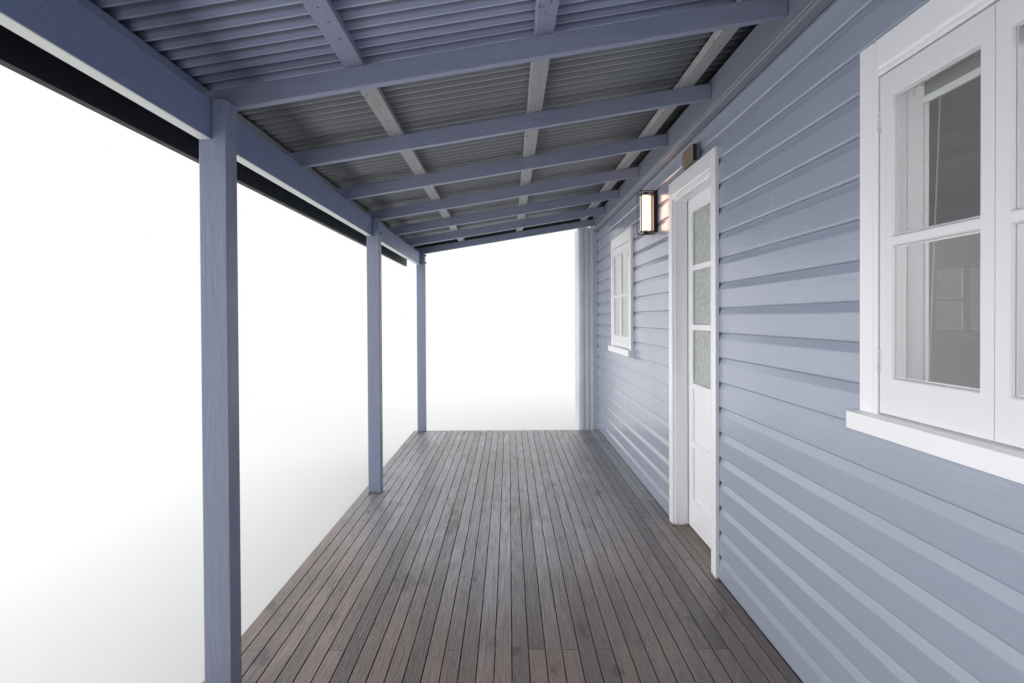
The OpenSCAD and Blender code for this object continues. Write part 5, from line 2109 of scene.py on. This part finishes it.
@dataclass(frozen=True)
class ViewPoint:
    """The camera at the photograph's place."""

    place: Point = (-3.3505, -3.875, 1.620)
    lens: float = 24.01
    sensor: float = 36.0
    pitch: float = math.radians(0.65)
    roll: float = math.radians(-0.30)
    shift: Pair = (0.0031, -0.0152)

    def build(self) -> None:
        """Makes the camera."""
        data = bpy.data.cameras.new("camera")
        data.sensor_width, data.sensor_fit = self.sensor, "HORIZONTAL"
        data.lens = self.lens
        data.shift_x, data.shift_y = self.shift
        data.clip_start, data.clip_end = 0.02, 200.0
        camera = bpy.data.objects.new("camera", data)
        turn = Matrix.Rotation(QUARTER - self.pitch, 4, "X") @ Matrix.Rotation(self.roll, 4, "Z")
        camera.matrix_world = Matrix.Translation(self.place) @ turn
        bpy.context.scene.collection.objects.link(camera)
        bpy.context.scene.camera = camera


@dataclass(frozen=True)
class SoftLamp:
    """One soft rectangular lamp, its power in watts and its spread in degrees."""

    name: str
    place: Point
    aim: Point
    size: Pair
    power: float
    spread: float

    def build(self) -> None:
        """Hangs the lamp, out of sight of the camera and of mirrors."""
        data = bpy.data.lights.new(self.name, "AREA")
        data.shape, data.size, data.size_y, data.energy = "RECTANGLE", *self.size, self.power
        data.spread = math.radians(self.spread)
        lamp = bpy.data.objects.new(self.name, data)
        facing = (Vector(self.aim) - Vector(self.place)).to_track_quat("-Z", "Y")
        lamp.matrix_world = Matrix.Translation(self.place) @ facing.to_matrix().to_4x4()
        lamp.visible_camera = lamp.visible_glossy = False
        bpy.context.scene.collection.objects.link(lamp)


@dataclass(frozen=True)
class Studio:
    """Pale floor, white background and soft light."""

    floor_finish: Material
    lamps: tuple[SoftLamp, ...] = (
        SoftLamp("side_lamp", (-12.0, 0.0, 3.2), (-2.3, 0.0, 1.3), (12.0, 4.0), 560.0, 180.0),
        SoftLamp("low_lamp", (-6.3, 0.0, 0.06), (-3.4, 0.0, 2.7), (9.5, 2.8), 64.0, 90.0),
        SoftLamp("room_lamp", (-1.3, -3.5, 1.9), (-2.23, -1.97, 1.85), (0.8, 0.8), 3.2, 80.0))
    half_floor: float = 35.0

    def build(self) -> None:
        """Makes the world, the lamps and the floor."""
        scene, half = bpy.context.scene, self.half_floor
        scene.view_settings.view_transform = "Standard"
        scene.world = bpy.data.worlds.new("studio")
        scene.world.use_nodes = True
        background = scene.world.node_tree.nodes["Background"]
        background.inputs["Color"].default_value = (1.0, 1.0, 1.0, 1.0)
        background.inputs["Strength"].default_value = 1.0
        for lamp in self.lamps:
            lamp.build()
        mesh = mesh_from([(-half, -half, 0), (half, -half, 0), (half, half, 0),
                          (-half, half, 0)], [(0, 1, 2, 3)])
        new_piece(mesh, "studio_floor", self.floor_finish)


# The house's own finishes


def enamel(colour: Colour, along: Along, rough: float = 0.36, **more: Value) -> PaintedTimber:
    """Smooth white paint with fine brush marks."""
    return PaintedTimber(colour, along, rough, grain=0.0, brush=0.03, fade=0.02, **more)


def sheet(red: int, green: int, blue: int, start: float = 0.0, **more: Value) -> SheetSteel:
    """Bare roof sheet of a display colour."""
    return SheetSteel(hue(red, green, blue), start, **more)


def house_finishes(effects: Effects) -> dict[str, Material]:
    """Builds the finish of every slot and of the pieces that differ within one.

    Args:
        effects: The shared shader groups.

    Returns:
        The materials by name.
    """
    board_blue, frame_blue = hue(157, 166, 184), hue(146, 154, 178)
    rafter_blue = hue(142, 150, 177)
    white, bright = hue(228, 228, 232), hue(242, 242, 245)
    paint = {"grain": 0.5, "brush": 0.5, "fade": 0.3}
    floor_z, wave_start = Plan().floor_z, -4.3366
    looks = {
        "board_paint": PaintedTimber(
            board_blue, Along.Y, 0.24, rubbed=0.22, sheen=0.95, course_foot=floor_z,
            course_pitch=0.124, tone_spread=0.04),
        "corner_paint": PaintedTimber(board_blue, Along.Z),
        # The boards' paint, painted darker for the shade that the ledger lies in under the roof.
        "shaded_ledger_paint": PaintedTimber(hue(124, 129, 142), Along.Y),
        "frame_paint": PaintedTimber(frame_blue, Along.Y, rubbed=0.2),
        "post_paint": PaintedTimber(frame_blue, Along.Z, 0.40, saw=0.6, grain=0.5, rubbed=0.45,
                                    worn_foot=floor_z, worn_reach=0.03),
        "beam_paint": PaintedTimber(hue(130, 145, 181), Along.Y, saw=0.5, grain=0.4,
                                    rubbed=0.5),
        "rafter_paint": PaintedTimber(rafter_blue, Along.X, 0.45, saw=0.6, rubbed=0.8, **paint),
        "near_batten_paint": PaintedTimber(rafter_blue, Along.Y, 0.45, saw=0.4, dent_shade_and_knots=0.7,
                                           rubbed=0.6, **paint),
        # Painted light: the beam's underside as it looks lit from below.
        "lit_beam_underside_paint": PaintedTimber(hue(196, 200, 196), Along.Y),
        "batten_paint": PaintedTimber(hue(166, 166, 166), Along.Y, 0.62, grain=0.7, saw=0.4,
                                      dent_shade_and_knots=0.8, fade=0.3, rubbed=0.5),
        "dark_timber": PaintedTimber(hue(34, 34, 36), Along.Y, 0.5),
        "white_paint": enamel(white, Along.Z),
        "lining_paint": enamel(white, Along.Y, 0.45),
        "door_frame_paint": enamel(bright, Along.ANY, worn=(0.30, 0.27, 0.24),
                                   worn_foot=floor_z, worn_reach=0.02),
        "door_paint": enamel(bright, Along.Z),
        "window_frame_paint": enamel(bright, Along.ANY),
        "sash_paint": enamel(white, Along.ANY),
        "reveal_paint": PaintedTimber(bright, Along.Z, 0.4, grain=0.02, brush=0.05, fade=0.02),
        "wall_lining": PaintedTimber(hue(228, 229, 225), Along.Z, 0.6, grain=0.05),
        # The deck's pale bluish tones, kept to a strip down its middle, are partly a painted
        # reflection of the sky on its sheen.
        "deck_timber": BareTimber(
            hue(172, 171, 179), hue(112, 108, 112), Along.Y, 0.34, 0.8,
            oiled_pale=hue(160, 133, 116), oiled_dark=hue(82, 61, 50), oil_and_sheen_edge=(0.35, -1.35)),
        # Painted shade for the sides of the deck boards, in the gaps between them.
        "deck_edge": BareTimber(hue(52, 44, 38), hue(34, 28, 25), Along.Y, 0.7),
        "sill_timber": BareTimber(hue(132, 122, 112), hue(100, 88, 78), Along.Y, 0.55),
        "floor_timber": BareTimber(hue(176, 138, 96), hue(142, 102, 64), Along.Y, 0.35, 0.15,
                                   0.3),
        "frame_timber": BareTimber(hue(150, 136, 116), hue(118, 102, 84), Along.Y, 0.7, 0.3),
        "stump_timber": BareTimber(hue(132, 126, 118), hue(96, 90, 84), Along.Z, 0.75, 0.6),
        "weathered_board": BareTimber(hue(150, 128, 110), hue(104, 86, 72), Along.Y, 0.65, 0.7),
        "roof_steel": sheet(136, 139, 142, wave_start),
        "roof_top_steel": sheet(150, 154, 159, wave_start, side=-1, valley=0.4),
        "main_roof_steel": sheet(150, 154, 159, -5.054, side=-1, valley=0.4),
        "painted_steel": sheet(164, 172, 200, wave_start, valley=0.85),
        "ridge_steel": sheet(142, 145, 149, valley=0.0, worn_ridge=0.0),
        "ribbed_steel": sheet(228, 232, 239, wave_pitch=0.060, rough=0.38, metal=0.0,
                              valley=0.1, worn_ridge=0.0),
        "dark_trim": CoatedMetal(hue(20, 21, 23), 0.5, sheen=0.2),
        "lantern_metal": CoatedMetal(hue(30, 30, 31), 0.38),
        "knob_metal": CoatedMetal((0.10, 0.075, 0.05), 0.32, 0.9),
        "painted_metal_white": CoatedMetal(white, 0.3, wear_share=0.15),
        "hinge_paint": CoatedMetal(white, 0.32, wear=(0.30, 0.20, 0.12), wear_share=0.35),
        "nail_metal": CoatedMetal((0.030, 0.026, 0.022), 0.55, 0.5),
        "roof_screw_metal": CoatedMetal(hue(118, 120, 122), 0.4, 0.7),
        "clear_glass": WindowGlass((0.985, 0.99, 0.985), 0.0, 0.04, 5.0, 0.10,
                                   (0.60, 0.62, 0.62)),
        "frosted_glass": WindowGlass((0.80, 0.82, 0.82), 0.3, 0.1, 60.0, 0.72,
                                     (0.34, 0.35, 0.36)),
        # The last value lays painted reflections in patches on the door's glass.
        "obscure_glass": WindowGlass((0.84, 0.88, 0.86), 0.16, 1.4, 95.0, 0.45,
                                     (0.74, 0.77, 0.75), 0.4),
        "opal_glass": LitOpalGlass((1.0, 0.95, 0.86), (1.0, 0.78, 0.58), (1.0, 0.58, 0.42),
                                   6.0, 1.05, 2.3655, 0.125),
        "chain_plastic": CoatedMetal(hue(176, 177, 177), wear_share=0.03),
        "rail_plastic": CoatedMetal(hue(212, 213, 213), wear_share=0.03),
        "blind_cloth": BlindCloth(hue(100, 102, 102)),
        "studio_floor": StudioFloor(),
    }
    return {name: look.material(effects, name) for name, look in looks.items()}


def main() -> None:
    """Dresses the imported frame, piece by piece."""
    logging.basicConfig(level=logging.INFO, format="%(name)s: %(message)s")
    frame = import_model()
    site = Site(frame["nodes"], house_finishes(Effects()), Repeater(),
                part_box("front_boards")[0][0])
    ViewPoint().build()
    Studio(site.finishes["studio_floor"]).build()
    for kind in (Weatherboards, Deck, Ground, VerandahFrame, IronRoof, EaveTrim, FrontDoor,
                 WindowSet, RollerBlind, WallLantern, Fittings, Shell):
        kind(site).build()
        LOG.info("%s is built", kind.__name__)
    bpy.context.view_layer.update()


if __name__ == "__main__":
    main()
